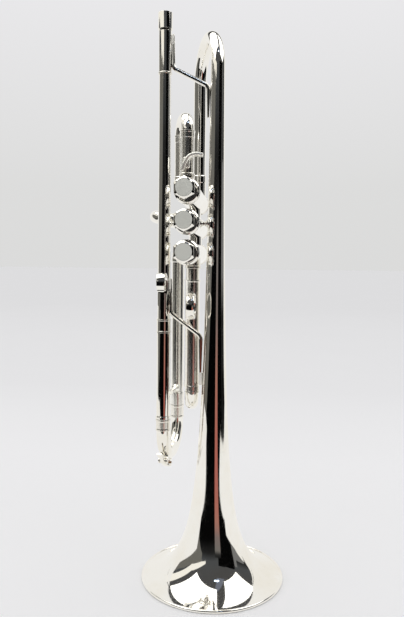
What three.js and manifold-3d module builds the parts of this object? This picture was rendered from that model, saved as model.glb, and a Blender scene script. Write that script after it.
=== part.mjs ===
// A B-flat trumpet standing on its bell, in millimetres.
// X runs from the leadpipe to the bell, Y from the finger buttons to the bottom caps,
// and Z from the bell's rim up to the mouthpiece receiver.
import * as THREE from "three";
import { mergeVertices } from "three/addons/utils/BufferGeometryUtils.js";
import Module from "manifold-3d";

const wasm = await Module();
wasm.setup();

// ---- Driving dimensions -------------------------------------------------------------

const GAP = 0.3; // between pieces that are soldered or screwed together
const TUBE_SIDES = 12;
const BELL_SIDES = 28;
const VALVE_SIDES = 16;

// The legs of the tubing, as places in plan. The valves stand on the line x = 0.
const LEADPIPE = { x: -21.6, y: 0 };
const BELL = { x: 22.5, y: 0 };
const BELL_TAIL = { x: 2.9, y: 62 };
const TUNING_FAR = { x: -15, y: 48 };
const FIRST_NEAR = { x: -3.1, y: 7.7 };
const FIRST_FAR = { x: -10.7, y: 30 };
const THIRD_NEAR = { x: 3, y: 5.3 };
const THIRD_FAR = { x: 0, y: 28.8 };

// Outer and bore radii of the tubing.
const OUTER_TUBE = { outer: 5.95, bore: 5.5 };
const INNER_TUBE = { outer: 5.35, bore: 4.85 };
const BOW = { outer: 5.8, bore: 5.1 };
const ELBOW = { outer: 6.1, bore: 5.2 };
const COLLAR_RADIUS = 6.5;
const FERRULE = { body: 6.05, ring: 6.3, ringHeight: 1.2 };

// The valve block.
const VALVE_SPACING = 24.6;
const VALVE_HEIGHTS = [1, 0, -1].map((n) => 306.4 + n * VALVE_SPACING);
const CASING = { bore: 8.5, outer: 9.8, thread: 9.3, front: -25.2, waist: 88.4, back: 92 };
const CAP = { outer: 10.5, inner: CASING.thread + GAP, front: -27.5, skirt: -19.5 };
const PISTON = { outer: 8.4, inner: 7.6, barrel: 6.5, top: -18, shoulder: -5, bottom: 71 };
const STEM_RADIUS = 2.6;
const BUTTON = { front: -49, back: -44.5, acrossFlats: 16, disc: 6.95, slope: 1.6 };
const STEM_FELT = { inner: 2.9, outer: 7.5, thickness: 1.3 };
const SPRING = { radius: 6, wire: 0.5, turns: 5 };
const PORT_RADIUS = 4.7;
const LINK_DEPTHS = [46, 60]; // where the windway crosses from valve to valve
const LINK_TUBE = { outer: 6, bore: 5.2 };
const PORT_LENGTH = 20;

// The bell: its outer radius at a height follows one flare law from rim to bow.
const RIM_RADIUS = 61.9;
const FLARE_OFFSET = 11.5;
const FLARE_POWER = 0.64;
const BELL_WALL = 0.55;
const BELL_TOP = 435.7;
const BEAD_RADIUS = 1.3;
const FLARE_FOOT = 2.34; // the height where the plain wall leaves the bead
const FLARE_START = 0.9; // how far up the flare law the wall is by then

// Heights of the joints along the tubing.
const RECEIVER = { bottom: 429.9, ring: 2.6, socket: 448.5, groove: 466, top: 479.3 };
const LEADPIPE_END = 214;
const LEADPIPE_FERRULE = { foot: 213.6, height: 11.5 };
const TUNING = { nearEnd: 138.3, farEnd: 140.4, braceHeight: 156.4, elbow: 270.5, insert: 205, bow: 126 };
const FIRST = { ferrule: 347.4, insert: 377, crook: 386.5 };
const THIRD = { ferrule: 268.6, open: 258.9, insert: 203, crook: 160 };
const TAIL_FERRULE = { top: 355.2, stop: 347 };

// The second slide's two depths, its lean, and its joints as distances from its valve's axis.
const SECOND = { near: 13.5, far: 34.5, tilt: 13, insert: 11, ferrule: 21.5, crook: 23.3 };

// ---- Looks --------------------------------------------------------------------------

const SILVER = { color: 0xe8e6df, roughness: 0.1, metalness: 1 };
const NICKEL = { color: 0xc9c8c2, roughness: 0.18, metalness: 1 };
const STEEL = { color: 0x9b9b9b, roughness: 0.3, metalness: 1 };
const FELT = { color: 0xe9e4d4, roughness: 0.95, metalness: 0 };
const CORK = { color: 0xb58a5c, roughness: 0.9, metalness: 0 };

// ---- Solids -------------------------------------------------------------------------

const at = (x, y, z) => new THREE.Vector3(x, y, z);

// A closed mesh with shared corners, as a solid that can be joined or cut.
function solid(geometry) {
  const bare = geometry.clone();
  bare.deleteAttribute("normal");
  bare.deleteAttribute("uv");
  const merged = mergeVertices(bare, 1e-4);
  const vertProperties = merged.attributes.position.array;
  const triVerts = new Uint32Array(merged.index.array);
  return new wasm.Manifold(new wasm.Mesh({ numProp: 3, vertProperties, triVerts }));
}

function geometryOf(made) {
  const mesh = made.getMesh();
  const positions = new THREE.BufferAttribute(new Float32Array(mesh.vertProperties), 3);
  const geometry = new THREE.BufferGeometry().setAttribute("position", positions);
  geometry.setIndex(new THREE.BufferAttribute(new Uint32Array(mesh.triVerts), 1));
  geometry.computeVertexNormals();
  return geometry;
}

const join = (...pieces) => geometryOf(pieces.map(solid).reduce((a, b) => a.add(b)));
const cut = (body, ...tools) =>
  geometryOf(tools.map(solid).reduce((a, b) => a.subtract(b), solid(body)));
const common = (a, b) => geometryOf(solid(a).intersect(solid(b)));

// A turned piece about the Y axis. The outline is [radius, height] pairs, anticlockwise.
function turned(outline, sides = TUBE_SIDES) {
  const points = outline.map(([radius, height]) => new THREE.Vector2(radius, height));
  if (outline[0][0] > 0) points.push(points[0].clone());
  return new THREE.LatheGeometry(points, sides);
}

// A turned piece about a vertical line.
const upright = (place, outline, sides) =>
  turned(outline, sides).rotateX(Math.PI / 2).translate(place.x, place.y, 0);

const pipe = (place, low, high, { outer, bore }) =>
  upright(place, [[bore, low], [outer, low], [outer, high], [bore, high]]);

const rodAt = (place, low, high, radius, sides = TUBE_SIDES) =>
  upright(place, [[0, low], [radius, low], [radius, high], [0, high]], sides);

// A round section drawn along a path: a tube with a bore, or a solid rod without one.
function bent(path, { outer, bore }, steps, sides = TUBE_SIDES) {
  const section = new THREE.Shape().absarc(0, 0, outer, 0, 2 * Math.PI);
  if (bore) section.holes.push(new THREE.Path().absarc(0, 0, bore, 0, 2 * Math.PI, true));
  return new THREE.ExtrudeGeometry(section, { extrudePath: path, steps, curveSegments: sides / 2 });
}

// A flat strip drawn along a path that lies in an upright plane.
function strip(path, width, thickness, steps) {
  const section = new THREE.Shape();
  section.moveTo(-width / 2, -thickness / 2);
  section.lineTo(width / 2, -thickness / 2);
  section.lineTo(width / 2, thickness / 2);
  section.lineTo(-width / 2, thickness / 2);
  return new THREE.ExtrudeGeometry(section, { extrudePath: path, steps });
}

// Half a turn from one leg to the other at a height, bulging up (1) or down (-1), with
// straight legs of a given length at both ends.
class HalfTurn extends THREE.Curve {
  constructor(near, far, height, bulge, leg = 0) {
    super();
    this.centre = at((near.x + far.x) / 2, (near.y + far.y) / 2, height);
    this.spoke = at(near.x, near.y, height).sub(this.centre);
    this.bulge = bulge;
    this.leg = leg;
  }
  getPoint(t, target = at(0, 0, 0)) {
    const radius = this.spoke.length();
    const arc = Math.PI * radius;
    const along = t * (arc + 2 * this.leg) - this.leg;
    const turn = THREE.MathUtils.clamp(along / radius, 0, Math.PI);
    const beyond = along - turn * radius;
    target.copy(this.centre).addScaledVector(this.spoke, Math.cos(turn));
    target.z += this.bulge * (radius * Math.sin(turn) - Math.abs(beyond));
    return target;
  }
}

class Helix extends THREE.Curve {
  constructor(radius, from, to, turns) {
    super();
    Object.assign(this, { radius, from, to, turns });
  }
  getPoint(t, target = at(0, 0, 0)) {
    const angle = 2 * Math.PI * this.turns * t;
    const y = this.from + (this.to - this.from) * t;
    return target.set(this.radius * Math.cos(angle), y, this.radius * Math.sin(angle));
  }
}

// A path of straight runs whose corners are rounded by the given setback.
function rounded(points, setback) {
  const path = new THREE.CurvePath();
  let from = points[0];
  for (let i = 1; i < points.length - 1; i += 1) {
    const corner = points[i];
    const before = corner.clone().add(from.clone().sub(corner).setLength(setback));
    const after = corner.clone().add(points[i + 1].clone().sub(corner).setLength(setback));
    path.add(new THREE.LineCurve3(from, before));
    path.add(new THREE.QuadraticBezierCurve3(before, corner, after));
    from = after;
  }
  path.add(new THREE.LineCurve3(from, points[points.length - 1]));
  return path;
}

// What a casing takes out of a tube that is soldered onto it.
function casingRoom(height) {
  const radius = CASING.outer + GAP;
  const outline = [[0, -40], [radius, -40], [radius, 110], [0, 110]];
  return turned(outline, VALVE_SIDES).translate(0, 0, height);
}

// ---- Assembly -----------------------------------------------------------------------

const horn = new THREE.Group();

function add(name, geometry, look, group = horn) {
  const mesh = new THREE.Mesh(geometry, new THREE.MeshStandardMaterial(look));
  mesh.name = name;
  group.add(mesh);
  return mesh;
}

// ---- Leadpipe -----------------------------------------------------------------------

const LEADPIPE_RADII = { top: 4.8, end: 5.6, bore: 4.3, endBore: 5.1 };
const leadpipeRadiusAt = (z) =>
  THREE.MathUtils.mapLinear(z, LEADPIPE_END, RECEIVER.socket, LEADPIPE_RADII.end, LEADPIPE_RADII.top);
const RECEIVER_RADII = { ring: 5.9, body: 5.4, cup: 6.05, mouth: 4.95, seat: 4.45 };

function mouthpieceReceiver() {
  const { bottom, ring, socket, groove, top } = RECEIVER;
  const radii = RECEIVER_RADII;
  const tenon = LEADPIPE_RADII.top + 0.2;
  return upright(LEADPIPE, [
    [tenon, bottom],
    [radii.ring, bottom],
    [radii.ring, bottom + ring],
    [radii.body, bottom + ring + 0.8],
    [radii.body, groove - 2],
    [radii.cup, groove - 1.5],
    [radii.cup, top],
    [radii.mouth, top],
    [radii.seat, socket],
    [tenon, socket - 0.5],
  ]);
}

function leadpipe() {
  const { top, end, bore, endBore } = LEADPIPE_RADII;
  const high = RECEIVER.socket - 1;
  return upright(LEADPIPE, [[endBore, LEADPIPE_END], [end, LEADPIPE_END], [top, high], [bore, high]]);
}

// A sleeve with a ring at each end, over the joint between the leadpipe and the slide.
function leadpipeFerrule() {
  const { foot, height } = LEADPIPE_FERRULE;
  const { body, ring, ringHeight } = FERRULE;
  const inner = LEADPIPE_RADII.end + 0.15;
  const top = foot + height;
  return upright(LEADPIPE, [
    [inner, foot],
    [ring, foot],
    [ring, foot + ringHeight],
    [body, foot + 1.5 * ringHeight],
    [body, top - 1.5 * ringHeight],
    [ring, top - ringHeight],
    [ring, top],
    [inner, top],
  ]);
}

// A strip that stands off the leadpipe and curls over the little finger.
const HOOK = { width: 8, thickness: 1.4, standOff: 0.9, top: 260.2, lip: 250, reach: 15 };
const HOOK_PLATE = { tip: 229.8, shoulder: 236.8, top: 256.4, half: 4.6, thickness: 0.8 };

function pinkyHook() {
  const face = LEADPIPE.y - leadpipeRadiusAt(HOOK.top);
  const root = face - HOOK.standOff;
  const curlFace = root - GAP;
  const curl = HOOK.reach / 2;
  const points = [at(LEADPIPE.x, root, HOOK.top - 9), at(LEADPIPE.x, root, HOOK.top - 5)];
  for (let angle = 0; angle <= 180; angle += 30) {
    const turn = THREE.MathUtils.degToRad(angle);
    const y = curlFace - curl + curl * Math.cos(turn);
    points.push(at(LEADPIPE.x, y, HOOK.top - curl / 2 + curl * Math.sin(turn)));
  }
  points.push(at(LEADPIPE.x, curlFace - HOOK.reach, HOOK.lip));
  const curled = strip(new THREE.CatmullRomCurve3(points), HOOK.width, HOOK.thickness, 14);

  // The base plate is a piece of shell with a pointed lower end.
  const { tip, shoulder, top, half, thickness } = HOOK_PLATE;
  const shell = leadpipeRadiusAt(tip) + GAP;
  const sleeve = pipe(LEADPIPE, tip, top, { outer: shell + thickness, bore: shell });
  const outline = new THREE.Shape();
  outline.moveTo(LEADPIPE.x, tip);
  outline.lineTo(LEADPIPE.x + half, shoulder);
  outline.lineTo(LEADPIPE.x + half, top);
  outline.lineTo(LEADPIPE.x - half, top);
  outline.lineTo(LEADPIPE.x - half, shoulder);
  const front = new THREE.ExtrudeGeometry(outline, { depth: 2 * shell, bevelEnabled: false });
  const plate = common(sleeve, front.rotateX(Math.PI / 2));
  const pipeRoom = rodAt(LEADPIPE, tip - 5, HOOK.top + 20, shell - 0.05);
  return cut(join(plate, curled), pipeRoom);
}

add("mouthpiece_receiver", mouthpieceReceiver(), SILVER);
add("leadpipe", leadpipe(), SILVER);
add("leadpipe_ferrule", leadpipeFerrule(), SILVER);
add("pinky_hook", pinkyHook(), SILVER);

// ---- Bell ---------------------------------------------------------------------------

const BELL_BOW_TUBE = { outer: 5.95, bore: 5.45 };
const TAIL_TUBE = { outer: 5.85, bore: 5.35 };

const flareRadius = (z) => RIM_RADIUS * (FLARE_OFFSET / (z + FLARE_OFFSET)) ** FLARE_POWER;
const flareSlope = (z) => (-FLARE_POWER * flareRadius(z)) / (z + FLARE_OFFSET);

// Points of the bell's wall from rim to bow, set in from its outer face. They crowd
// towards the rim, where the wall bends most.
function flare(inset) {
  const samples = 11;
  const crowding = 2.4;
  const points = [];
  for (let i = 0; i <= samples; i += 1) {
    const climb = (i / samples) ** crowding * (BELL_TOP - 2 * BEAD_RADIUS);
    const slope = flareSlope(climb);
    const length = Math.hypot(1, slope);
    const radius = flareRadius(climb + FLARE_START) - inset / length;
    points.push([radius, climb + FLARE_FOOT + (inset * slope) / length]);
  }
  return points;
}

function bell() {
  const centre = RIM_RADIUS - BEAD_RADIUS;
  const flat = 0.5;
  const bead = [[centre - flat, 0], [centre + flat, 0]];
  for (let angle = -30; angle <= 150; angle += 60) {
    const turn = THREE.MathUtils.degToRad(angle);
    bead.push([centre + BEAD_RADIUS * Math.cos(turn), BEAD_RADIUS * (1 + Math.sin(turn))]);
  }
  const outline = [...bead, ...flare(0), ...flare(BELL_WALL).reverse()];
  return upright(BELL, outline, BELL_SIDES);
}

function bellTailFerrule() {
  const { top, stop } = TAIL_FERRULE;
  const floor = VALVE_HEIGHTS[0];
  const bore = 5;
  const body = 6.2;
  const socket = TAIL_TUBE.outer + 0.25;
  const ferrule = upright(BELL_TAIL, [
    [bore, floor],
    [body, floor],
    [body, stop + 1],
    [COLLAR_RADIUS, stop + 2],
    [COLLAR_RADIUS, top - 0.5],
    [COLLAR_RADIUS - 0.2, top],
    [socket, top],
    [socket, stop - GAP],
    [bore, stop - GAP],
  ]);
  return cut(ferrule, casingRoom(VALVE_HEIGHTS[0]));
}

const bowPath = new HalfTurn(BELL, BELL_TAIL, BELL_TOP + GAP, 1);
add("bell", bell(), SILVER);
add("bell_bow", bent(bowPath, BELL_BOW_TUBE, 10), SILVER);
add("bell_tail", pipe(BELL_TAIL, TAIL_FERRULE.stop, BELL_TOP, TAIL_TUBE), SILVER);
add("bell_tail_ferrule", bellTailFerrule(), SILVER);

// ---- Braces between the leadpipe and the bell ---------------------------------------

const BRACE_RADIUS = 1.5;
const BRACE_BEND = 4;
const BRACE_PAD = { width: 2.4, depth: 5, left: 9, right: 11, sink: 0.9 };

// A rod that lies along one tube, crosses over, and lies along the other, with a pad
// where each leg is soldered down. Each leg is beside a tube of the given radius, in an
// upright plane at the depth y.
function zBrace(y, left, right) {
  const reach = (radius) => Math.sqrt((radius + BRACE_RADIUS + GAP) ** 2 - y ** 2);
  const leftX = LEADPIPE.x + reach(left.radius);
  const rightX = BELL.x - reach(right.radius);
  const points = [
    at(leftX, y, left.high),
    at(leftX, y, left.low),
    at(rightX, y, right.high),
    at(rightX, y, right.low),
  ];
  const rod = bent(rounded(points, BRACE_BEND), { outer: BRACE_RADIUS }, 16, 8);
  const pad = BRACE_PAD;
  const foot = new THREE.BoxGeometry(pad.width, pad.depth, pad.right);
  const seat = new THREE.BoxGeometry(pad.width, pad.depth, pad.left);
  foot.translate(rightX + pad.sink, y / 2, right.low + pad.right / 2);
  seat.translate(leftX - pad.sink, y / 2, left.high - pad.left / 2);
  return join(rod, foot, seat);
}

function bellRoom(low, high) {
  const radii = [low, high].map((z) => flareRadius(z - FLARE_FOOT) + GAP);
  return upright(BELL, [[0, low], [radii[0], low], [radii[1], high], [0, high]], BELL_SIDES);
}

function topBrace() {
  const left = { radius: RECEIVER_RADII.body, high: 459.5, low: 436.7 };
  const brace = zBrace(0, left, { radius: flareRadius(400), high: 421.8, low: 394 });
  return cut(brace, rodAt(LEADPIPE, 430, 470, left.radius + GAP), bellRoom(380, 440));
}

// This brace passes in front of the third slide.
function bottomBrace() {
  const left = { radius: leadpipeRadiusAt(235), high: 260, low: 230.5 };
  const brace = zBrace(-2.7, left, { radius: flareRadius(165), high: 211, low: 168.7 });
  return cut(brace, rodAt(LEADPIPE, 220, 270, left.radius + GAP), bellRoom(160, 215));
}

add("brace_top", topBrace(), SILVER);
add("brace_bottom", bottomBrace(), SILVER);

// ---- Valve block --------------------------------------------------------------------

const valveTurned = (outline, height) => turned(outline, VALVE_SIDES).translate(0, 0, height);

// A round hole that runs from a valve's axis out through its wall, up or down.
const portHole = (place, height, side) =>
  new THREE.CylinderGeometry(PORT_RADIUS, PORT_RADIUS, PORT_LENGTH, 10)
    .rotateX(Math.PI / 2)
    .translate(place.x, place.y, height + (side * PORT_LENGTH) / 2);

// The same to the leadpipe's side, for the second valve's slide.
const sidePortHole = (depth, height) =>
  new THREE.CylinderGeometry(PORT_RADIUS, PORT_RADIUS, PORT_LENGTH, 10)
    .translate(0, PORT_LENGTH / 2, 0)
    .rotateZ(Math.PI / 2)
    .rotateY(THREE.MathUtils.degToRad(SECOND.tilt))
    .translate(0, depth, height);

const linkPlace = (n) => ({ x: 0, y: LINK_DEPTHS[n] });

// Ports beside a valve's axis, where a tube further out bends in to its casing.
const SIDE_PORT_X = -3;

const windwayPorts = [
  (z) => [portHole(BELL_TAIL, z, 1), portHole(linkPlace(0), z, -1)],
  (z) => [portHole(linkPlace(0), z, 1), portHole(linkPlace(1), z, -1)],
  (z) => [portHole(linkPlace(1), z, 1), portHole({ x: SIDE_PORT_X, y: TUNING_FAR.y }, z, -1)],
];

const slidePorts = [
  (z) => [portHole(FIRST_NEAR, z, 1), portHole({ x: SIDE_PORT_X, y: FIRST_FAR.y }, z, 1)],
  (z) => [sidePortHole(SECOND.near, z), sidePortHole(SECOND.far, z)],
  (z) => [portHole(THIRD_NEAR, z, -1), portHole(THIRD_FAR, z, -1)],
];

function valveCasing(index, height) {
  const { bore, outer, thread, front, waist, back } = CASING;
  const shoulder = CAP.skirt + GAP;
  const body = valveTurned(
    [
      [bore, front],
      [thread, front],
      [thread, shoulder],
      [outer, shoulder],
      [outer, waist],
      [thread, waist],
      [thread, back],
      [bore, back],
    ],
    height,
  );
  return cut(body, ...windwayPorts[index](height), ...slidePorts[index](height));
}

function topCap(height) {
  const { outer, inner, front, skirt } = CAP;
  const hole = STEM_RADIUS + 0.7;
  const chamfer = 1.3;
  const roof = 2;
  return valveTurned(
    [
      [hole, front],
      [outer - chamfer, front],
      [outer, front + chamfer],
      [outer, skirt],
      [inner, skirt],
      [inner, front + roof],
      [hole, front + roof],
    ],
    height,
  );
}

function bottomCap(height) {
  const { outer, inner } = CAP;
  const rim = CASING.waist + GAP;
  const floor = CASING.back + 0.6;
  const boss = 5;
  const vent = 1.5;
  return valveTurned(
    [
      [inner, rim],
      [outer, rim],
      [outer, floor + 1],
      [outer - 0.9, floor + 2],
      [boss + 1, floor + 2],
      [boss, floor + 3],
      [vent, floor + 3],
      [vent, floor],
      [inner, floor],
    ],
    height,
  );
}

function piston(index, height) {
  const { outer, inner, barrel, top, shoulder, bottom } = PISTON;
  const wall = outer - inner;
  const body = valveTurned(
    [
      [0, top],
      [barrel, top],
      [barrel, shoulder - 1],
      [outer, shoulder],
      [outer, bottom],
      [inner, bottom],
      [inner, shoulder + wall],
      [barrel - wall, shoulder],
      [barrel - wall, top + 1.2],
      [0, top + 1.2],
    ],
    height,
  );
  return cut(body, ...windwayPorts[index](height));
}

function fingerButton(height) {
  const { front, back, acrossFlats, disc, slope } = BUTTON;
  const corner = acrossFlats / 2 / Math.cos(Math.PI / 6);
  const edge = corner + 0.1;
  const prism = turned([[0, front], [corner, front], [corner, back], [0, back]], 6);
  const profile = [[0, front], [disc, front], [edge, front + slope]];
  const crown = turned([...profile, [edge, back], [0, back]], VALVE_SIDES);
  return common(prism, crown).translate(0, 0, height);
}

function valveSpring(height) {
  const { radius, wire, turns } = SPRING;
  const coil = new Helix(radius, PISTON.bottom + 2 * wire, CASING.back - 0.4, turns);
  return bent(coil, { outer: wire }, 5 * turns, 4).translate(0, 0, height);
}

// The stem and its felt start behind the button.
const STEM_FRONT = BUTTON.back + GAP;
const STEM_BACK = PISTON.top - GAP;

function valveStem(height) {
  const outline = [[0, STEM_FRONT], [STEM_RADIUS, STEM_FRONT], [STEM_RADIUS, STEM_BACK], [0, STEM_BACK]];
  return valveTurned(outline, height);
}

function stemFelt(height) {
  const { inner, outer, thickness } = STEM_FELT;
  const back = STEM_FRONT + thickness;
  const outline = [[inner, STEM_FRONT], [outer, STEM_FRONT], [outer, back], [inner, back]];
  return valveTurned(outline, height);
}

VALVE_HEIGHTS.forEach((height, index) => {
  const n = index + 1;
  add(`valve_casing_${n}`, valveCasing(index, height), SILVER);
  add(`top_cap_${n}`, topCap(height), SILVER);
  add(`bottom_cap_${n}`, bottomCap(height), SILVER);
  add(`piston_${n}`, piston(index, height), NICKEL);
  add(`valve_stem_${n}`, valveStem(height), NICKEL);
  add(`stem_felt_${n}`, stemFelt(height), FELT);
  add(`finger_button_${n}`, fingerButton(height), SILVER);
  add(`valve_spring_${n}`, valveSpring(height), STEEL);
});

// Short tubes that carry the windway from one casing to the next.
LINK_DEPTHS.forEach((depth, index) => {
  const place = { x: 0, y: depth };
  const [high, low] = [VALVE_HEIGHTS[index], VALVE_HEIGHTS[index + 1]];
  const link = pipe(place, low, high, LINK_TUBE);
  add(`casing_link_${index + 1}`, cut(link, casingRoom(high), casingRoom(low)), SILVER);
});

// A turned spool: a thin waist between two flanges of a given radius.
function spool(low, high, flange, waist) {
  return turned([
    [0, low],
    [flange, low],
    [flange - 0.4, low + 1.8],
    [waist, low + 2.8],
    [waist, high - 2.8],
    [flange - 0.4, high - 1.8],
    [flange, high],
    [0, high],
  ]);
}

// A short spool between the second casing and the tube beside it.
function casingBrace(from, to, room) {
  const turnedOver = spool(0, to - from, 3.8, 1.6).rotateZ(-Math.PI / 2);
  const placed = turnedOver.translate(from, 0, VALVE_HEIGHTS[1]);
  return cut(placed, casingRoom(VALVE_HEIGHTS[1]), room);
}

const middle = VALVE_HEIGHTS[1];
const pipeSide = LEADPIPE.x + leadpipeRadiusAt(middle);
const bellSide = BELL.x - flareRadius(middle);
const leadpipeRoom = rodAt(LEADPIPE, middle - 10, middle + 10, leadpipeRadiusAt(middle) + 0.4);
add("casing_brace_leadpipe", casingBrace(pipeSide - 1, 1 - CASING.outer, leadpipeRoom), SILVER);
add("casing_brace_bell", casingBrace(CASING.outer - 1, bellSide + 1, bellRoom(280, 330)), SILVER);

// ---- Main tuning slide --------------------------------------------------------------

function tuningOuterNear() {
  const { outer, bore } = OUTER_TUBE;
  const { nearEnd } = TUNING;
  const high = LEADPIPE_END - 0.7;
  return upright(LEADPIPE, [
    [bore, nearEnd],
    [COLLAR_RADIUS, nearEnd],
    [COLLAR_RADIUS, nearEnd + 2],
    [outer, nearEnd + 2.8],
    [outer, high],
    [bore, high],
  ]);
}

function tuningOuterFar() {
  const { outer, bore } = OUTER_TUBE;
  const { farEnd, elbow } = TUNING;
  const straight = upright(TUNING_FAR, [
    [bore, farEnd],
    [COLLAR_RADIUS, farEnd],
    [COLLAR_RADIUS, farEnd + 11],
    [outer, farEnd + 12],
    [outer, elbow],
    [bore, elbow],
  ]);
  const { x, y } = TUNING_FAR;
  const turn = [at(x, y, elbow - 1.5), at(x, y, elbow + 6), at(x + 13, y, VALVE_HEIGHTS[2] - 2)];
  const knuckle = bent(rounded(turn, 6), ELBOW, 6);
  return cut(join(straight, knuckle), casingRoom(VALVE_HEIGHTS[2]));
}

// The brace between the two outer tubes is turned about the line that joins them.
const tuningLine = new THREE.Group();
tuningLine.position.set(LEADPIPE.x, LEADPIPE.y, 0);
tuningLine.rotation.z = -Math.atan2(TUNING_FAR.x - LEADPIPE.x, TUNING_FAR.y - LEADPIPE.y);
horn.add(tuningLine);
const TUNING_SPREAD = Math.hypot(TUNING_FAR.x - LEADPIPE.x, TUNING_FAR.y - LEADPIPE.y);

function tuningOuterBrace() {
  const { braceHeight } = TUNING;
  const sunk = OUTER_TUBE.outer - 1;
  const brace = spool(sunk, TUNING_SPREAD - sunk, 4, 1.7).translate(0, 0, braceHeight);
  const radius = OUTER_TUBE.outer + 0.35;
  const rooms = [0, TUNING_SPREAD].map((y) =>
    rodAt({ x: 0, y }, braceHeight - 9, braceHeight + 9, radius, 24),
  );
  return cut(brace, ...rooms);
}

// The inner tubes end in collars that the bow is soldered into.
function tuningInner(place, outerEnd) {
  const { outer, bore } = INNER_TUBE;
  const collarTop = outerEnd - GAP;
  const collarFoot = TUNING.bow + 2;
  return upright(place, [
    [bore, collarFoot + 3],
    [BOW.outer + GAP, collarFoot + 2.4],
    [BOW.outer + GAP, collarFoot],
    [COLLAR_RADIUS, collarFoot],
    [COLLAR_RADIUS, collarTop],
    [outer, collarTop],
    [outer, TUNING.insert],
    [bore, TUNING.insert],
  ]);
}

const tuningBow = () => bent(new HalfTurn(LEADPIPE, TUNING_FAR, TUNING.bow, -1, 4), BOW, 12);

// The water key rides on the outside of the bow, in the bow's own plane. In that plane
// an angle of 0 points straight down from the bow's centre, and grows towards the leadpipe.
const WATER_KEY = { nipple: 12, pivot: 42, width: 5, rise: 4.6, nippleRise: 1.9, lever: 19 };
const CHEEK = { radius: 2.4, thickness: 1.4 };
const BOW_CENTRE = TUNING_SPREAD / 2;
const BOW_FACE = BOW_CENTRE + BOW.outer;

function inBowPlane(angle, radius) {
  const turn = THREE.MathUtils.degToRad(angle);
  return at(0, BOW_CENTRE - radius * Math.sin(turn), TUNING.bow - radius * Math.cos(turn));
}

// A turned piece whose axis points out of the bow at an angle, starting at a radius.
function outOfBow(outline, angle, radius, sides = 12) {
  const place = inBowPlane(angle, radius);
  const turn = THREE.MathUtils.degToRad(angle);
  return turned(outline, sides).rotateX(-Math.PI / 2 - turn).translate(0, place.y, place.z);
}

const acrossBow = (outline, angle, radius) => {
  const place = inBowPlane(angle, radius);
  return turned(outline, 12).rotateZ(-Math.PI / 2).translate(0, place.y, place.z);
};

const PIVOT_RADIUS = BOW_FACE + WATER_KEY.rise;

function waterKeySaddle() {
  const { pivot, width, rise } = WATER_KEY;
  const { radius, thickness } = CHEEK;
  const reach = width / 2 + GAP;
  const pinReach = reach + 1;
  const lean = -THREE.MathUtils.degToRad(pivot);
  const webPlace = inBowPlane(pivot, BOW_FACE + 1.2);
  const basePlace = inBowPlane(pivot, BOW_FACE + 0.6);
  const ear = [[0, 0], [radius, 0], [radius, thickness], [0, thickness]];
  const cheeks = [reach, -reach - thickness].map((x) => {
    const web = new THREE.BoxGeometry(thickness, 3.4, rise + 2).rotateX(lean);
    web.translate(x + thickness / 2, webPlace.y, webPlace.z);
    return join(acrossBow(ear, pivot, PIVOT_RADIUS).translate(x, 0, 0), web);
  });
  const base = new THREE.BoxGeometry(2 * (reach + thickness), 5, 1.6).rotateX(lean);
  base.translate(0, basePlace.y, basePlace.z);
  const pin = acrossBow([[0, 0], [0.8, 0], [0.8, 2 * pinReach], [0, 2 * pinReach]], pivot, PIVOT_RADIUS);
  const half = new HalfTurn({ x: 0, y: 0 }, { x: 0, y: TUNING_SPREAD }, TUNING.bow, -1);
  const room = bent(half, { outer: BOW.outer + GAP }, 16);
  return cut(join(...cheeks, base, pin.translate(-pinReach, 0, 0)), room);
}

function waterKeyNipple() {
  const rise = WATER_KEY.nippleRise;
  const outline = [[1.6, -1.5], [3.4, -1.5], [3, rise], [1.6, rise]];
  const half = new HalfTurn({ x: 0, y: 0 }, { x: 0, y: TUNING_SPREAD }, TUNING.bow, -1);
  return cut(outOfBow(outline, WATER_KEY.nipple, BOW_FACE), bent(half, { outer: BOW.outer + GAP }, 16));
}

function waterKeyLever() {
  const { nipple, pivot, width, lever } = WATER_KEY;
  const points = [];
  for (let angle = nipple - 4; angle <= pivot; angle += 6) {
    points.push(inBowPlane(angle, PIVOT_RADIUS + 1.2));
  }
  const tangent = inBowPlane(pivot + 90, 1).sub(inBowPlane(0, 0)).normalize();
  const tip = points[points.length - 1].clone();
  points.push(tip.clone().addScaledVector(tangent, 8));
  points.push(tip.clone().addScaledVector(tangent, lever));
  const bar = strip(new THREE.CatmullRomCurve3(points), width, 1.5, 14);
  const barrel = acrossBow([[0, 0], [2.3, 0], [2.3, width], [0, width]], pivot, PIVOT_RADIUS);
  const cup = outOfBow([[0, 0], [3.6, 0], [3.6, 2.4], [0, 2.4]], nipple, BOW_FACE + 3.6);
  const pinRoom = acrossBow([[0, 0], [1, 0], [1, width + 4], [0, width + 4]], pivot, PIVOT_RADIUS);
  const whole = join(bar, barrel.translate(-width / 2, 0, 0), cup);
  return cut(whole, pinRoom.translate(-width / 2 - 2, 0, 0));
}

function waterKeyCork() {
  const start = WATER_KEY.nippleRise + 0.2;
  return outOfBow([[0, start], [3.2, start], [3.2, 3.3], [0, 3.3]], WATER_KEY.nipple, BOW_FACE);
}

add("tuning_outer_near", tuningOuterNear(), SILVER);
add("tuning_outer_far", tuningOuterFar(), SILVER);
add("tuning_outer_brace", tuningOuterBrace(), SILVER, tuningLine);
add("tuning_inner_near", tuningInner(LEADPIPE, TUNING.nearEnd), NICKEL);
add("tuning_inner_far", tuningInner(TUNING_FAR, TUNING.farEnd), NICKEL);
add("tuning_bow", tuningBow(), SILVER);
add("water_key_saddle", waterKeySaddle(), SILVER, tuningLine);
add("water_key_nipple", waterKeyNipple(), SILVER, tuningLine);
add("water_key_lever", waterKeyLever(), SILVER, tuningLine);
add("water_key_cork", waterKeyCork(), CORK, tuningLine);

// ---- First valve slide --------------------------------------------------------------

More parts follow.
